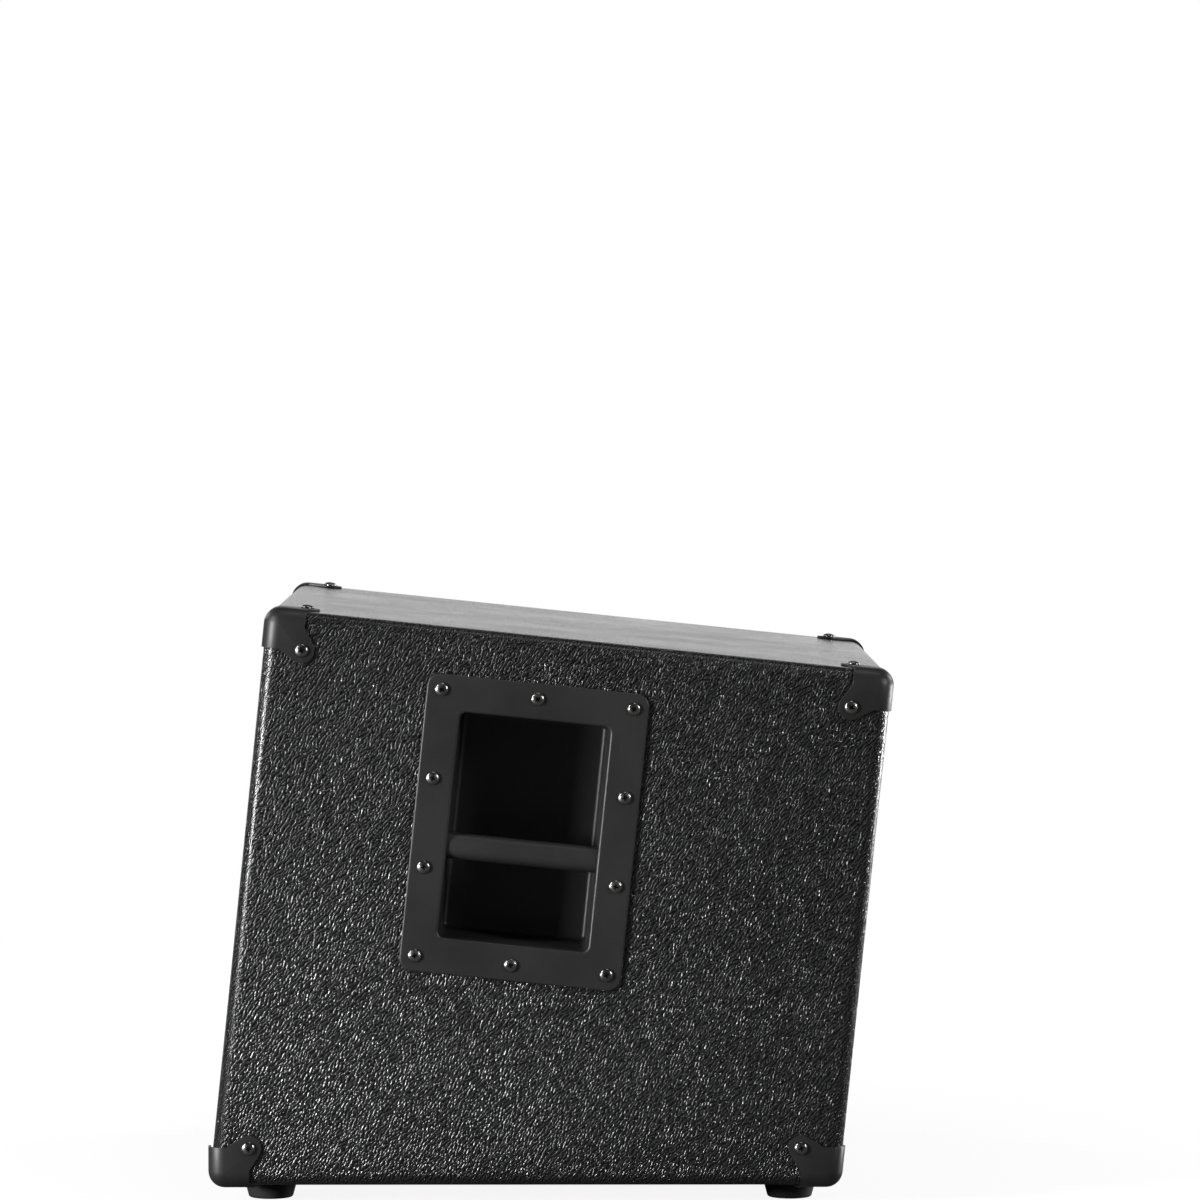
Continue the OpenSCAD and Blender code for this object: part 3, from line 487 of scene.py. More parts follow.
def pebbled_vinyl():
    """Black vinyl with long wandering ridges and deep creases, the creases darkened by painted shade."""
    look = looks()
    wander = 0.0015
    waves_in_a_patch, along_one_way = 1.1, 0.75
    fine_grain = 0.12
    f = Finish("pebbled vinyl")
    sheet = f.node("ShaderNodeUVMap", uv_map="sheet").outputs["UV"]
    # Ridges lean forwards as they rise, and wander
    drift = f.node("ShaderNodeTexNoise", name="drift", noise_dimensions="2D")
    drift.inputs["Scale"].default_value = 70
    drift.inputs["Detail"].default_value = 1
    f.link(sheet, drift.inputs["Vector"])
    spread = f.node("ShaderNodeVectorMath", name="spread", operation="MULTIPLY_ADD")
    spread.inputs[1].default_value = (wander, wander, 0)
    f.link(drift.outputs["Color"], spread.inputs[0])
    f.link(sheet, spread.inputs[2])
    upright = f.mapped(rotation=(0, 0, look.ridge_slant), source=spread.outputs["Vector"])
    waves = f.node("ShaderNodeTexGabor", name="waves", gabor_type="2D")
    waves.inputs["Scale"].default_value = 1 / (waves_in_a_patch * look.ridge_pitch)
    waves.inputs["Frequency"].default_value = waves_in_a_patch
    waves.inputs["Anisotropy"].default_value = along_one_way
    waves.inputs["Orientation"].default_value = 0
    f.link(upright, waves.inputs["Vector"])
    ridge = f.ramp(f.maths("SINE", f.maths("MULTIPLY", waves.outputs["Phase"], math.tau)), -1, 1)
    height = f.maths("ADD", ridge, f.maths("MULTIPLY", f.noise(1500, 2, 0.6, sheet), fine_grain))
    normal = f.bump(height, look.ridge_depth)
    patches = f.noise(9, 3, 0.55)
    # Painted shade: the creases between ridges are coloured 0.15 times as dark as the vinyl, standing in for
    # their shadow
    colour = f.mix(f.ramp(ridge, 0.05, 0.6), shade(look.vinyl_colour, 0.15), look.vinyl_colour)
    sheen = f.ramp(patches, 0.25, 0.75, 0.17, 0.25)
    return f.dress(colour, sheen, normal, Specular_IOR_Level=0.5)


def satin_moulding(name="satin moulding", tint=1.0):
    """Black injection-moulded plastic with a fine even grain."""
    f = Finish(name)
    base = shade(looks().moulding_colour, tint)
    patches = f.noise(14, 4, 0.6)
    grain = f.noise(4200, 2, 0.7)
    scuffs = f.noise(60, 6, 0.75, source=f.mapped(scale=(1, 1, 3)))
    colour = f.mix(f.ramp(patches, 0.3, 0.7), shade(base, 0.85), shade(base, 1.15))
    rough = f.maths("ADD", f.ramp(patches, 0.3, 0.7, 0.38, 0.45), f.ramp(scuffs, 0.55, 0.8, 0.0, 0.08))
    return f.dress(colour, rough, f.bump(grain, 0.00006, 0.35), Specular_IOR_Level=0.5)


def moulded_rubber():
    f = Finish("moulded rubber")
    base = looks().rubber_colour
    patches = f.noise(40, 4, 0.6)
    colour = f.mix(f.ramp(patches, 0.35, 0.7), shade(base, 0.8), shade(base, 1.5))
    return f.dress(colour, f.ramp(patches, 0.3, 0.7, 0.72, 0.85), f.bump(f.noise(2500, 2), 0.0001, 0.4))


def bright_steel(name="zinc plated steel", tint=1.0, rough=0.22):
    f = Finish(name)
    base = shade(looks().steel_colour, tint)
    patches = f.noise(160, 4, 0.6)
    colour = f.mix(f.ramp(patches, 0.3, 0.7), shade(base, 0.82), shade(base, 1.05))
    turning = f.noise(900, 3, 0.6)
    sheen = f.ramp(patches, 0.3, 0.7, rough - 0.05, rough + 0.1)
    return f.dress(colour, sheen, f.bump(turning, 0.00004, 0.3), Metallic=1.0)


def black_powder_coat(name="black powder coat", rough=0.5):
    f = Finish(name)
    base = (0.018, 0.018, 0.018)
    peel = f.noise(1500, 2, 0.5)
    patches = f.noise(20, 3, 0.5)
    colour = f.mix(f.ramp(patches, 0.3, 0.7), shade(base, 0.85), shade(base, 1.2))
    return f.dress(colour, f.ramp(patches, 0.3, 0.7, rough - 0.05, rough + 0.05), f.bump(peel, 0.00008, 0.5))


def plywood():
    f = Finish("birch plywood")
    base = looks().wood_colour
    grain = f.noise(60, 5, 0.6, source=f.mapped(scale=(1, 12, 12)), distortion=0.6)
    colour = f.mix(f.ramp(grain, 0.3, 0.7), shade(base, 0.72), shade(base, 1.08))
    return f.dress(colour, 0.62, f.bump(grain, 0.0002, 0.3))


def painted_board():
    f = Finish("flat black paint")
    grain = f.noise(80, 5, 0.6, source=f.mapped(scale=(1, 1, 10)), distortion=0.4)
    colour = f.mix(f.ramp(grain, 0.3, 0.7), (0.010, 0.010, 0.010), (0.016, 0.016, 0.016))
    return f.dress(colour, 0.75, f.bump(grain, 0.0003, 0.3))


def cone_paper():
    f = Finish("pressed paper")
    fibre = f.noise(700, 6, 0.75)
    colour = f.mix(f.ramp(fibre, 0.35, 0.7), (0.014, 0.014, 0.015), (0.03, 0.03, 0.032))
    return f.dress(colour, f.ramp(fibre, 0.3, 0.7, 0.55, 0.75), f.bump(fibre, 0.0003, 0.6))


def woven_cloth(name, low, high):
    f = Finish(name)
    warp = f.noise(1300, 2, 0.5, source=f.mapped(scale=(1, 1, 0.2)))
    colour = f.mix(f.ramp(warp, 0.3, 0.7), low, high)
    return f.dress(colour, 0.85, f.bump(warp, 0.0003, 0.6))


def lacquered(name, low, high, rough=0.3, metallic=0.0, scale=120):
    f = Finish(name)
    patches = f.noise(scale, 4, 0.6)
    colour = f.mix(f.ramp(patches, 0.35, 0.65), low, high)
    sheen = f.ramp(patches, 0.3, 0.7, rough, rough + 0.12)
    return f.dress(colour, sheen, f.bump(patches, 0.0001, 0.2), Metallic=metallic)


FINISHES = {
    "vinyl": pebbled_vinyl,
    "moulding": satin_moulding,
    "tray moulding": lambda: satin_moulding("tray moulding", 0.88),
    "cap moulding": lambda: satin_moulding("cap moulding", 0.73),
    "rubber": moulded_rubber,
    "steel": bright_steel,
    "machined": lambda: bright_steel("machined steel", 0.95, 0.34),
    "black steel": black_powder_coat,
    "black screws": lambda: black_powder_coat("black oxide", 0.4),
    "plywood": plywood,
    "painted board": painted_board,
    "paper": cone_paper,
    "spider cloth": lambda: woven_cloth("spider cloth", (0.35, 0.24, 0.1), (0.5, 0.36, 0.17)),
    "ferrite": lambda: lacquered("ferrite", (0.03, 0.03, 0.032), (0.06, 0.06, 0.062), 0.5),
    "copper": lambda: lacquered("lacquered copper", (0.55, 0.24, 0.12), (0.72, 0.36, 0.2), 0.3, 1.0),
    "circuit board": lambda: lacquered("circuit board", (0.02, 0.1, 0.045), (0.03, 0.14, 0.06), 0.35),
    "capacitor film": lambda: lacquered("capacitor film", (0.03, 0.04, 0.14), (0.045, 0.055, 0.2), 0.25),
    "wire": lambda: lacquered("wire insulation", (0.3, 0.02, 0.015), (0.42, 0.03, 0.02), 0.4),
}
made_finishes = {}


def finish(name):
    if name not in made_finishes:
        made_finishes[name] = FINISHES[name]()
    return made_finishes[name]


def screw_mesh(radius, rise, shank_radius, length):
    """Pan-head screw with a tapered cross recess, head above z = 0."""
    bm = bmesh.new()
    dome = [
        (radius * math.cos(math.radians(v)), rise * (0.22 + 0.78 * math.sin(math.radians(v))))
        for v in (0, 12, 25, 40, 55, 70, 82)
    ]
    shank = [(0, -length), (shank_radius, -length), (shank_radius, 0)]
    rim = [(radius * 0.93, 0), (radius, 0.0003)]
    revolve(bm, [*shank, *rim, *dome, (0, rise)], 36)
    arm_size = Matrix.Diagonal((radius * 1.25, radius * 0.4, rise * 3.2, 1))
    steps = []
    for turn in (0, 90):
        arm = bmesh.new()
        made = bmesh.ops.create_cube(arm, size=1)["verts"]
        bmesh.ops.transform(arm, verts=made, matrix=arm_size)
        for vert in made:
            if vert.co.z < 0:
                vert.co.x *= 0.25
                vert.co.y *= 0.25
        bmesh.ops.transform(arm, verts=made, matrix=turned(turn, "Z") @ at(0, 0, rise * 0.9))
        steps.append(("DIFFERENCE", scratch_object("cross arm", arm)))
    return cut(scratch_object("screw", bm), steps)


def screw_set(places, mesh, seed):
    """Copies of one screw at each place, each with its cross turned its own way."""
    dice = random.Random(seed)
    copies = []
    for place in places:
        copies.append(placed(mesh.copy(), place @ Matrix.Rotation(dice.uniform(0, math.pi), 4, "Z")))
    return joined("screws", copies)


def handle_screw_places(side):
    f = fittings()
    for u in (-1, 0, 1):
        for v in (-1.5, -0.5, 0.5, 1.5):
            if abs(v) > 1 or u:
                yield handle_place(side) @ at(u * 0.0675, v * 0.0625, f.flange_thickness)


def cap_screw_places(side, end, level):
    """Screw frames on the two faces of one cap that have a screw, with z pointing out."""
    f = fittings()
    out = CAP_GAP + f.cap_wall
    inset = f.cap_screw
    place = corner_place(side, end, level)
    yield place @ at(-out, inset, inset) @ turned(-90, "Y")
    yield place @ at(inset, inset, -out) @ turned(180, "X")


def round_the_edge(value, flat, radius):
    """Place along the surface of a point that the rounding past +-flat may have drawn in."""
    over = abs(value) - flat
    if over <= 0:
        return value
    return math.copysign(flat + radius * math.asin(min(1.0, over / radius)), value)


def lay_sheet(mesh):
    """Maps the box's faces as one sheet wrapped round it, in metres, right and up as each is seen."""
    s = sizes()
    r = s.edge_radius
    bend = r * math.pi / 2
    half = Vector((s.width / 2 - r, s.depth / 2 - r, s.front_height / 2 - r))
    middle = Vector((0, s.depth / 2, s.front_height / 2))
    layer = mesh.uv_layers.new(name="sheet")
    for polygon in mesh.polygons:
        normal = polygon.normal
        way = max(range(3), key=lambda i: abs(normal[i]))
        sign = math.copysign(1, normal[way])
        for i in polygon.loop_indices:
            point = mesh.vertices[mesh.loops[i].vertex_index].co - middle
            x, y, z = (round_the_edge(v, flat, r) for v, flat in zip(point, half))
            if way == 0:
                place = (sign * y, z)
            elif way == 1:
                place = (-sign * x - half.y - bend - half.x, z)
            else:
                place = (y, sign * (half.z + bend + half.x) - sign * x)
            layer.data[i].uv = place


class CABINET_OT_covering(bpy.types.Operator):
    """Make the vinyl covering, turned in round the front opening"""

    bl_idname = "cabinet.covering"
    bl_label = "Covering"

    def outline(self, inset):
        s = sizes()
        return [
            (inset, bottom_height(inset, inset)), (s.depth - inset, bottom_height(s.depth - inset, inset)),
            (s.depth - inset, s.front_height - inset), (inset, s.front_height - inset),
        ]

    def opening(self, name, inset):
        s = sizes()
        wall = s.skin + s.panel + inset
        x = s.width / 2 - wall
        bm = bmesh.new()
        rounded_block(
            bm,
            [(-0.02, bottom_height(-0.02, wall)), (s.board_recess, bottom_height(s.board_recess, wall)),
             (s.board_recess, s.front_height - wall), (-0.02, s.front_height - wall)],
            -x, x, 0.0001, (), 1,
        )
        return scratch_object(name, bm)

    def block(self, name, inset):
        s = sizes()
        bm = bmesh.new()
        x = s.width / 2 - inset
        rounded_block(bm, self.outline(inset), -x, x, s.edge_radius - inset, (-x, x))
        return scratch_object(name, bm)

    def execute(self, context):
        s, f = sizes(), fittings()
        inner = self.block("inside", s.skin)
        inner = linked("inside", cut(inner, [("DIFFERENCE", self.opening("front wall", 0.0))]))
        steps = [("DIFFERENCE", inner), ("DIFFERENCE", self.opening("front", s.skin))]
        tray_slack = 0.0015
        room = f.flange_thickness + tray_slack
        for _, side in SIDES:
            bm = bmesh.new()
            loft(bm, [
                (f.mouth_width + 2 * room, f.mouth_height + 2 * room, 0.0089, z) for z in (-0.03, 0.03)
            ])
            bmesh.ops.transform(bm, verts=bm.verts, matrix=leaned_back().inverted() @ handle_place(side))
            steps.append(("DIFFERENCE", scratch_object("handle cut-out", bm)))
        bm = bmesh.new()
        loft(bm, [(s.plate_width - 0.024, s.plate_height - 0.022, 0.004, z) for z in (-0.02, 0.02)])
        bmesh.ops.transform(bm, verts=bm.verts, matrix=at(0, s.depth, s.plate_centre) @ turned(-90, "X"))
        steps.append(("DIFFERENCE", scratch_object("plate cut-out", bm)))
        mesh = cut(self.block("covering", 0.0), steps)
        lay_sheet(mesh)
        mesh = placed(mesh, leaned_back())
        add_piece("vinyl_covering", mesh, finish("vinyl"), CABINET, ["covering"])
        return {"FINISHED"}


class CABINET_OT_corner_caps(bpy.types.Operator):
    """Make the moulded cap on each corner of the box"""

    bl_idname = "cabinet.corner_caps"
    bl_label = "Corner caps"

    def block(self, name, out, lean):
        reach = 0.06
        radius = sizes().edge_radius + out
        low_y = -out * (1 - math.sin(lean)) / math.cos(lean)
        bm = bmesh.new()
        rounded_block(
            bm,
            [(low_y, -out), (reach, -out), (reach, reach),
             ((-out - reach * math.sin(lean)) / math.cos(lean), reach)],
            -out, reach, radius, (-out,),
        )
        return scratch_object(name, bm)

    def face_prism(self, rim, place):
        """Prism over the legs and the screw lobe that one face shows."""
        f = fittings()
        out = CAP_GAP + f.cap_wall
        low, high = -2 * out, 0.006
        bm = bmesh.new()
        if rim:
            width = sizes().skin + sizes().panel - 0.0005
            points = [(low, low), (f.cap_leg, low), (f.cap_leg, width), (width, width), (width, f.cap_leg),
                      (low, f.cap_leg)]
        else:
            from_web = f.cap_screw - f.cap_web
            away = f.cap_screw - f.cap_leg
            grazing = math.asin(f.cap_lobe / math.hypot(away, from_web))
            turn = math.atan2(from_web, away) - grazing - math.pi / 2
            sweep = [turn + (math.pi / 2 - 2 * turn) * k / 16 for k in range(17)]
            lobe = [
                (f.cap_screw + f.cap_lobe * math.cos(a), f.cap_screw + f.cap_lobe * math.sin(a))
                for a in sweep
            ]
            points = [
                (low, low), (f.cap_leg, low), (f.cap_leg, f.cap_web), *lobe,
                (f.cap_web, f.cap_leg), (low, f.cap_leg),
            ]
        face = bm.faces.new([bm.verts.new((x, y, low)) for x, y in points])
        grown = bmesh.ops.extrude_face_region(bm, geom=[face])["geom"]
        bmesh.ops.translate(
            bm, verts=[v for v in grown if isinstance(v, bmesh.types.BMVert)], vec=(0, 0, high - low)
        )
        bmesh.ops.transform(bm, verts=bm.verts, matrix=place)
        return scratch_object("cap face", bm)

    def cap(self, lean):
        f = fittings()
        prisms = [
            self.face_prism(False, turned(90, "Z") @ turned(90, "X")),
            self.face_prism(False, Matrix.Identity(4)),
            self.face_prism(True, Matrix.Rotation(lean, 4, "X") @ turned(90, "X") @ mirrored(z=-1)),
        ]
        cover = linked("cap faces", cut(prisms[0], [("UNION", prisms[1]), ("UNION", prisms[2])]))
        outer = self.block("cap", CAP_GAP + f.cap_wall, lean)
        inner = self.block("cap inside", CAP_GAP, lean)
        return cut(outer, [("DIFFERENCE", inner), ("INTERSECT", cover)], bevel=0.0005, bevel_segments=3)

    def execute(self, context):
        lean = sizes().lean
        kinds = {}
        for side_name, side, end, level in corners():
            opened = lean if (end, level) == ("back", "bottom") else 0.0
            if opened not in kinds:
                kinds[opened] = self.cap(opened)
            mesh = placed(kinds[opened].copy(), corner_place(side, end, level))
            corner = f"{level}_{end}_{side_name}"
            add_piece(f"cap_{corner}", mesh, finish("cap moulding"), CABINET,
                      [f"corner_{corner}"])
        for mesh in kinds.values():
            bpy.data.meshes.remove(mesh)
        return {"FINISHED"}


class CABINET_OT_screws(bpy.types.Operator):
    """Make the pan-head screws of the caps and handles"""

    bl_idname = "cabinet.screws"
    bl_label = "Screws"

    def execute(self, context):
        f = fittings()
        mesh = screw_mesh(f.screw_head, f.screw_rise, 0.0019, 0.012)
        handle = [p for _, side in SIDES for p in handle_screw_places(side)]
        caps = [p for _, side, end, level in corners() for p in cap_screw_places(side, end, level)]
        add_piece("handle_fasteners", screw_set(handle, mesh, f.screw_seed), finish("steel"), CABINET,
                  ["handle_screws"])
        add_piece("cap_fasteners", screw_set(caps, mesh, f.screw_seed + 1), finish("steel"), CABINET,
                  ["corner_screws"])
        bpy.data.meshes.remove(mesh)
        return {"FINISHED"}


class CABINET_OT_handles(bpy.types.Operator):
    """Make the recessed handle trays and their bars"""

    bl_idname = "cabinet.handles"
    bl_label = "Handles"

    def tray(self):
        f = fittings()
        w, h = f.flange_width, f.flange_height
        mw, mh, t = f.mouth_width, f.mouth_height, f.flange_thickness
        deep = f.recess_depth
        floor = -(deep - t)
        mm = 0.001
        # Both sides of the floor's rounding, as (narrower by, corner radius, height)
        bend = [math.radians(v) for v in (90, 75, 60, 45, 30, 15, 0)]
        outer, inner, draft = 6.4 * mm, 4 * mm, 1.5 * mm
        outside = [(2 * outer * (1 - math.cos(v)), outer * math.cos(v) + 0.6 * mm, outer * (1 - math.sin(v)))
                   for v in bend]
        inside = [(2 * inner * (1 - math.cos(v)), inner * math.cos(v) + 0.6 * mm, inner * (1 - math.sin(v)))
                  for v in reversed(bend)]
        sections = [(mw + 2 * (t - draft) - c, mh + 2 * (t - draft) - c, r, z - deep) for c, r, z in outside]
        sections += [
            (mw + 2 * t - 0.2 * mm, mh + 2 * t - 0.2 * mm, 7.4 * mm, 0.0),
            (w - 0.6 * mm, h - 0.6 * mm, 8.7 * mm, 0.0),
            (w, h, 9 * mm, 0.4 * mm),
            (w, h, 9 * mm, 1.3 * mm),
            (w - 0.35 * mm, h - 0.35 * mm, 8.8 * mm, 1.9 * mm),
            (w - 1.2 * mm, h - 1.2 * mm, 8.4 * mm, 2.3 * mm),
            (w - 2.4 * mm, h - 2.4 * mm, 7.8 * mm, t),
            (w - 4.4 * mm, h - 4.4 * mm, 6.8 * mm, t),
            (mw + 5.2 * mm, mh + 5.2 * mm, 7.2 * mm, t),
            (mw + 3.6 * mm, mh + 3.6 * mm, 6.6 * mm, t),
            (mw + 2.2 * mm, mh + 2.2 * mm, 6.0 * mm, t - 0.15 * mm),
            (mw + 1.0 * mm, mh + 1.0 * mm, 5.4 * mm, t - 0.6 * mm),
            (mw + 0.25 * mm, mh + 0.25 * mm, 5.1 * mm, t - 1.3 * mm),
            (mw, mh, 5 * mm, t - 2.2 * mm),
            (mw - 0.1 * mm, mh - 0.1 * mm, 4.9 * mm, -2 * mm),
        ]
        sections += [(mw - 2 * draft - c, mh - 2 * draft - c, r, z + floor) for c, r, z in inside]
        bm = bmesh.new()
        loft(bm, sections)
        return mesh_from(bm, "tray")

    def bar(self):
        f = fittings()
        mm = 0.001
        half = f.mouth_width / 2
        thick, high = 17 * mm, f.bar_height
        sections = [(thick, high, 7.4 * mm, z) for z in (-half - 2 * mm, half + 2 * mm)]
        bm = bmesh.new()
        loft(bm, sections, 16)
        place = at(0, -f.bar_drop, -8 * mm) @ turned(90, "Y")
        bmesh.ops.transform(bm, verts=bm.verts, matrix=place)
        return mesh_from(bm, "bar")

    def execute(self, context):
        for name, side in SIDES:
            tray = placed(self.tray(), handle_place(side))
            add_piece(f"tray_{name}", tray, finish("tray moulding"), CABINET,
                      [f"handle_tray_{name}"], sharp=50)
            bar = placed(self.bar(), handle_place(side))
            add_piece(f"bar_{name}", bar, finish("moulding"), CABINET,
                      [f"handle_bar_{name}"], sharp=50)
        return {"FINISHED"}


class CABINET_OT_grille(bpy.types.Operator):
    """Make the perforated grille with its folded rim"""

    bl_idname = "cabinet.grille"
    bl_label = "Grille"

    sheet = 0.0012
    border = 0.014
    front = 0.005
    gap = 0.001
    fold = 0.003

    def pan(self, name, inset, y_low, y_high, radius):
        """Block inside the grille's outline, from y_low to y_high."""
        s = sizes()
        wall = s.skin + s.panel + s.skin + self.gap + inset
        x = s.width / 2 - wall
        low = bottom_height(s.board_recess, s.panel + 2 * s.skin) + self.gap + inset
        high = s.front_height - wall
        bm = bmesh.new()
        outline = [(y_low, low), (y_high, low), (y_high, high), (y_low, high)]
        rounded_block(bm, outline, -x, x, radius, (-x, x), 4)
        return scratch_object(name, bm), (x, low, high)

    def holes(self, x, low, high):
        """Staggered rows of six-sided holes: a row of prisms, copied twice by arrays."""
        f = fittings()
        pitch, row = f.hole_pitch, f.hole_pitch * math.sin(math.radians(60))
        rows = int((high - low - 2 * self.border) / row)
        columns = int((x - self.border) / pitch)
        start = (low + high - rows * row) / 2
        hole = (pitch - f.hole_bridge) / 2 / math.cos(math.radians(30))
        for odd in (0, 1):
            bm = bmesh.new()
            place = at(-(columns - odd / 2) * pitch, self.front, start + odd * row)
            bmesh.ops.create_cone(
                bm, cap_ends=True, segments=6, radius1=hole, radius2=hole, depth=0.004,
                matrix=place @ turned(90, "X") @ turned(30, "Z"),
            )
            cutter = scratch_object("holes", bm)
            across = (2 * columns + 1 - odd, (pitch, 0, 0))
            up = ((rows - odd) // 2 + 1, (0, 0, 2 * row))
            for count, offset in (across, up):
                copies = cutter.modifiers.new("copies", "ARRAY")
                copies.use_relative_offset = False
                copies.use_constant_offset = True
                copies.count = count
                copies.constant_offset_displace = offset
            yield "DIFFERENCE", cutter

    def execute(self, context):
        s = sizes()
        pan, (x, low, high) = self.pan("grille", 0.0, self.front, 0.08, self.fold)
        inside, _ = self.pan("inside", self.sheet, self.front + self.sheet, 0.12, self.fold - self.sheet)
        bm = bmesh.new()
        made = bmesh.ops.create_cube(bm, size=1)["verts"]
        # The folded rim ends 0.3 mm in front of the board
        place = at(0, s.board_recess + 0.2497, 0.2) @ Matrix.Diagonal((1, 0.5, 1, 1))
        bmesh.ops.transform(bm, verts=made, matrix=place)
        back = scratch_object("behind the board", bm)
        steps = [("DIFFERENCE", inside), ("DIFFERENCE", back), *self.holes(x, low, high)]
        mesh = placed(cut(pan, steps), leaned_back())
        add_piece("perforated_grille", mesh, finish("black steel"), CABINET, ["grille"])
        return {"FINISHED"}


class CABINET_OT_solid_finishes(bpy.types.Operator):
    """Give each solid that stays its finish and smooth its round faces"""

    bl_idname = "cabinet.solid_finishes"
    bl_label = "Finishes of the solids"

    slots = {
        "covering": "vinyl", "screw_steel": "steel", "black_screw_steel": "black screws",
        "black_plastic": "moulding", "rubber": "rubber", "plywood": "plywood",
        "painted_plywood": "painted board", "black_steel": "black steel", "foam_rubber": "rubber",
        "ferrite": "ferrite", "plated_steel": "machined", "cone_paper": "paper", "copper": "copper",
        "spider_cloth": "spider cloth", "moulded_plastic": "moulding", "circuit_board": "circuit board",
        "capacitor_film": "capacitor film", "wire_insulation": "wire",
    }

    def execute(self, context):
        for part in frame["record"]["subparts"]:
            obj = frame["nodes"][part["node"]]
            material = finish(self.slots[part["material_slot"]])
            for slot in obj.material_slots:
                slot.material = material
            for polygon in obj.data.polygons:
                polygon.use_smooth = True
            weld = obj.modifiers.new("weld", "WELD")
            weld.merge_threshold = 0.00001
            split = obj.modifiers.new("sharp edges", "EDGE_SPLIT")
            split.split_angle = math.radians(32)
        return {"FINISHED"}


class CABINET_OT_stage(bpy.types.Operator):
    """Set the floor, backdrop, lights and camera"""

    bl_idname = "cabinet.stage"
    bl_label = "Stage"

    def lamp(self, name, place, size, watts):
        """A soft box turned to the middle of the cabinet."""
        data = bpy.data.lights.new(name, "AREA")
        data.shape = "RECTANGLE"
        data.size, data.size_y = size
        data.energy = watts
        obj = linked(name, data)
        obj.location = place
        obj.rotation_mode = "QUATERNION"
        obj.rotation_quaternion = (Vector((0.1, 0, 0.2)) - Vector(place)).to_track_quat("-Z", "Y")

    def shown(self, tree, coordinates):
        """1 where the camera sees the backdrop, or a gloss or glass shows the part behind the object."""
        path = tree.nodes.new("ShaderNodeLightPath")
        glossy = tree.nodes.new("ShaderNodeMath")
        glossy.operation = "MAXIMUM"
        tree.links.new(path.outputs["Is Glossy Ray"], glossy.inputs[0])
        tree.links.new(path.outputs["Is Transmission Ray"], glossy.inputs[1])
        split = tree.nodes.new("ShaderNodeSeparateXYZ")
        tree.links.new(tree.nodes.new("ShaderNodeTexCoord").outputs[coordinates], split.inputs["Vector"])
        behind = tree.nodes.new("ShaderNodeMapRange")
        for name, value in (("From Min", -0.8), ("From Max", -0.97)):
            behind.inputs[name].default_value = value
        tree.links.new(split.outputs["X"], behind.inputs["Value"])
        mirrored_part = tree.nodes.new("ShaderNodeMath")
        mirrored_part.operation = "MULTIPLY"
        tree.links.new(glossy.outputs[0], mirrored_part.inputs[0])
        tree.links.new(behind.outputs["Result"], mirrored_part.inputs[1])
        either = tree.nodes.new("ShaderNodeMath")
        either.operation = "MAXIMUM"
        tree.links.new(path.outputs["Is Camera Ray"], either.inputs[0])
        tree.links.new(mirrored_part.outputs[0], either.inputs[1])
        return either.outputs[0]

    def floor(self):
        paper = bpy.data.materials.new("white paper")
        paper.use_nodes = True
        tree = paper.node_tree
        shader = tree.nodes["Principled BSDF"]
        shader.inputs["Base Color"].default_value = (*looks().floor_colour, 1)
        shader.inputs["Roughness"].default_value = 0.9
        shader.inputs["Specular IOR Level"].default_value = 0.1
        shader.inputs["Emission Color"].default_value = (1, 1, 1, 1)
        away = tree.nodes.new("ShaderNodeVectorMath")
        away.operation = "LENGTH"
        tree.links.new(tree.nodes.new("ShaderNodeTexCoord").outputs["Object"], away.inputs[0])
        fade = tree.nodes.new("ShaderNodeMapRange")
        ends = (("From Min", 0.3), ("From Max", 1.3), ("To Min", looks().floor_glow), ("To Max", 1.0))
        for name, value in ends:
            fade.inputs[name].default_value = value
        tree.links.new(away.outputs["Value"], fade.inputs["Value"])
        glow = tree.nodes.new("ShaderNodeMath")
        glow.operation = "MULTIPLY"
        tree.links.new(fade.outputs["Result"], glow.inputs[1])
        tree.links.new(self.shown(tree, "Object"), glow.inputs[0])
        tree.links.new(glow.outputs[0], shader.inputs["Emission Strength"])
        bm = bmesh.new()
        bmesh.ops.create_circle(bm, cap_ends=True, segments=96, radius=1.8)
        floor = linked("floor", mesh_from(bm, "floor"))
        floor.data.materials.append(paper)

    def world(self):
        world = bpy.data.worlds.new("studio")
        bpy.context.scene.world = world
        world.use_nodes = True
        tree = world.node_tree
        light = tree.nodes["Background"]
        light.inputs["Color"].default_value = (1, 1, 1, 1)
        strength = tree.nodes.new("ShaderNodeMapRange")
        strength.inputs["To Min"].default_value = looks().room_light
        strength.inputs["To Max"].default_value = 1.0
        tree.links.new(self.shown(tree, "Generated"), strength.inputs["Value"])
        tree.links.new(strength.outputs["Result"], light.inputs["Strength"])

    def camera(self):
        """Looks at the side face from where the photograph was taken."""
        s = sizes()
        frame_px, level_px, foot_px = 1200, 348, 1186.5
        across_px, front_px, wide_px = 570, 208.4, 631
        focal = 6200
        sensor = 36
        pitch = math.atan((frame_px / 2 - level_px) / focal)
        yaw = math.atan((frame_px / 2 - across_px) / focal)
        drop = pitch + math.atan((foot_px - frame_px / 2) / focal)
        tilt = math.cos(pitch) + math.tan(drop) * math.sin(pitch)
        distance = s.depth / math.cos(s.lean) * focal / wide_px / tilt
        reach = s.depth * math.cos(s.lean) + s.front_height * math.sin(s.lean)
        along = (across_px - front_px) / wide_px * s.depth / math.cos(s.lean)
        data = bpy.data.cameras.new("camera")
        data.sensor_fit = "HORIZONTAL"
        data.sensor_width = sensor
        data.lens = sensor * focal / frame_px
        data.clip_start, data.clip_end = 0.05, 200
        obj = linked("camera", data)
        obj.location = (s.width / 2 + distance, along - reach / 2, s.foot_height + distance * math.tan(drop))
        obj.rotation_euler = (math.pi / 2 - pitch, 0, math.pi / 2 - yaw)
        bpy.context.scene.camera = obj

    def execute(self, context):
        context.scene.view_settings.view_transform = "Standard"
        self.camera()
        self.floor()
        self.world()
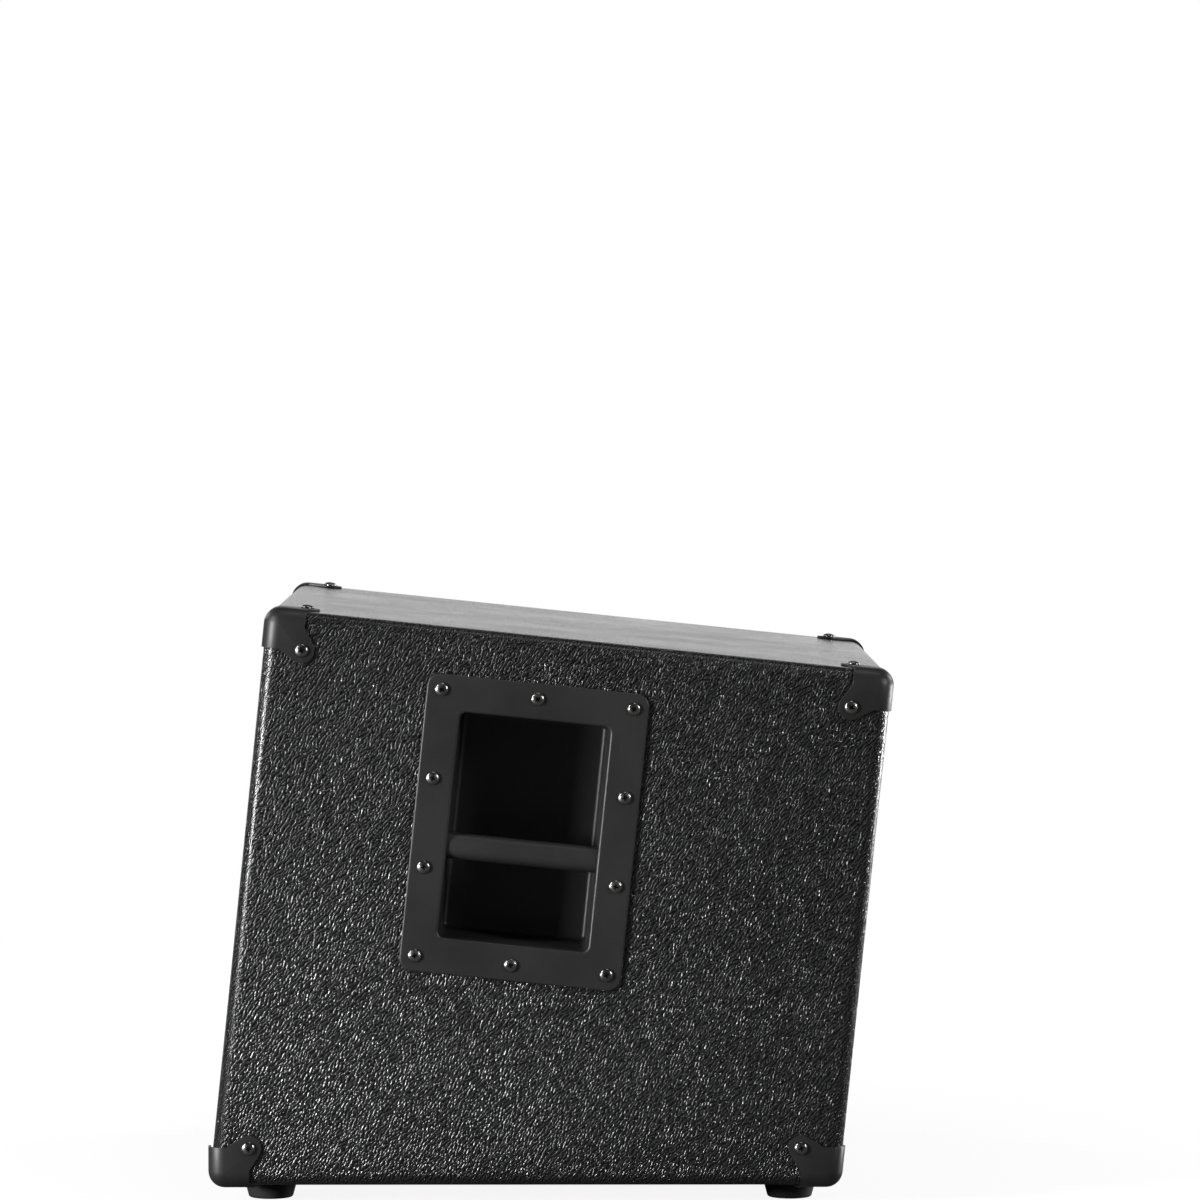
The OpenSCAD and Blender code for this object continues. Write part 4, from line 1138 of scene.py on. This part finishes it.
        # The key stands below the plane of the top face, which keeps its own glare off the top
        self.lamp("key at the front", (1.35, -2.0, 0.44), (0.5, 0.3), 66)
        self.lamp("upper key", (1.2, -1.9, 1.6), (0.4, 0.8), 15)
        self.lamp("fill at the back", (1.6, 2.4, 1.2), (0.4, 1.0), 34)
        self.lamp("top", (0.4, 0.4, 3.2), (0.8, 0.8), 6)
        self.lamp("far side", (-2.2, -2.4, 1.6), (0.8, 0.8), 20)
        self.lamp("far back", (-1.6, 2.6, 1.5), (0.8, 0.8), 30)
        self.lamp("low back", (-1.0, 2.3, 0.07), (1.0, 0.12), 34)
        return {"FINISHED"}


CLASSES = (
    CabinetSizes,
    FittingSizes,
    CabinetLooks,
    CABINET_OT_covering,
    CABINET_OT_corner_caps,
    CABINET_OT_screws,
    CABINET_OT_handles,
    CABINET_OT_grille,
    CABINET_OT_solid_finishes,
    CABINET_OT_stage,
)


class CABINET_PT_panel(bpy.types.Panel):
    """Build the cabinet step by step"""

    bl_idname = "CABINET_PT_panel"
    bl_label = "Slanted bass cabinet"
    bl_space_type = "VIEW_3D"
    bl_region_type = "UI"
    bl_category = "Cabinet"

    def draw(self, context):
        for group in (sizes(), fittings(), looks()):
            box = self.layout.box()
            for name in group.__annotations__:
                box.prop(group, name)
        for step in CLASSES:
            if issubclass(step, bpy.types.Operator):
                self.layout.operator(step.bl_idname)


def register():
    for cls in (*CLASSES, CABINET_PT_panel):
        bpy.utils.register_class(cls)
    bpy.types.Scene.cabinet_sizes = PointerProperty(type=CabinetSizes)
    bpy.types.Scene.cabinet_fittings = PointerProperty(type=FittingSizes)
    bpy.types.Scene.cabinet_looks = PointerProperty(type=CabinetLooks)


def unregister():
    del bpy.types.Scene.cabinet_looks
    del bpy.types.Scene.cabinet_fittings
    del bpy.types.Scene.cabinet_sizes
    for cls in reversed((*CLASSES, CABINET_PT_panel)):
        bpy.utils.unregister_class(cls)


def main():
    register()
    bpy.ops.cabinet.solid_finishes()
    bpy.ops.cabinet.covering()
    bpy.ops.cabinet.corner_caps()
    bpy.ops.cabinet.screws()
    bpy.ops.cabinet.handles()
    bpy.ops.cabinet.grille()
    bpy.ops.cabinet.stage()


if __name__ == "__main__":
    main()
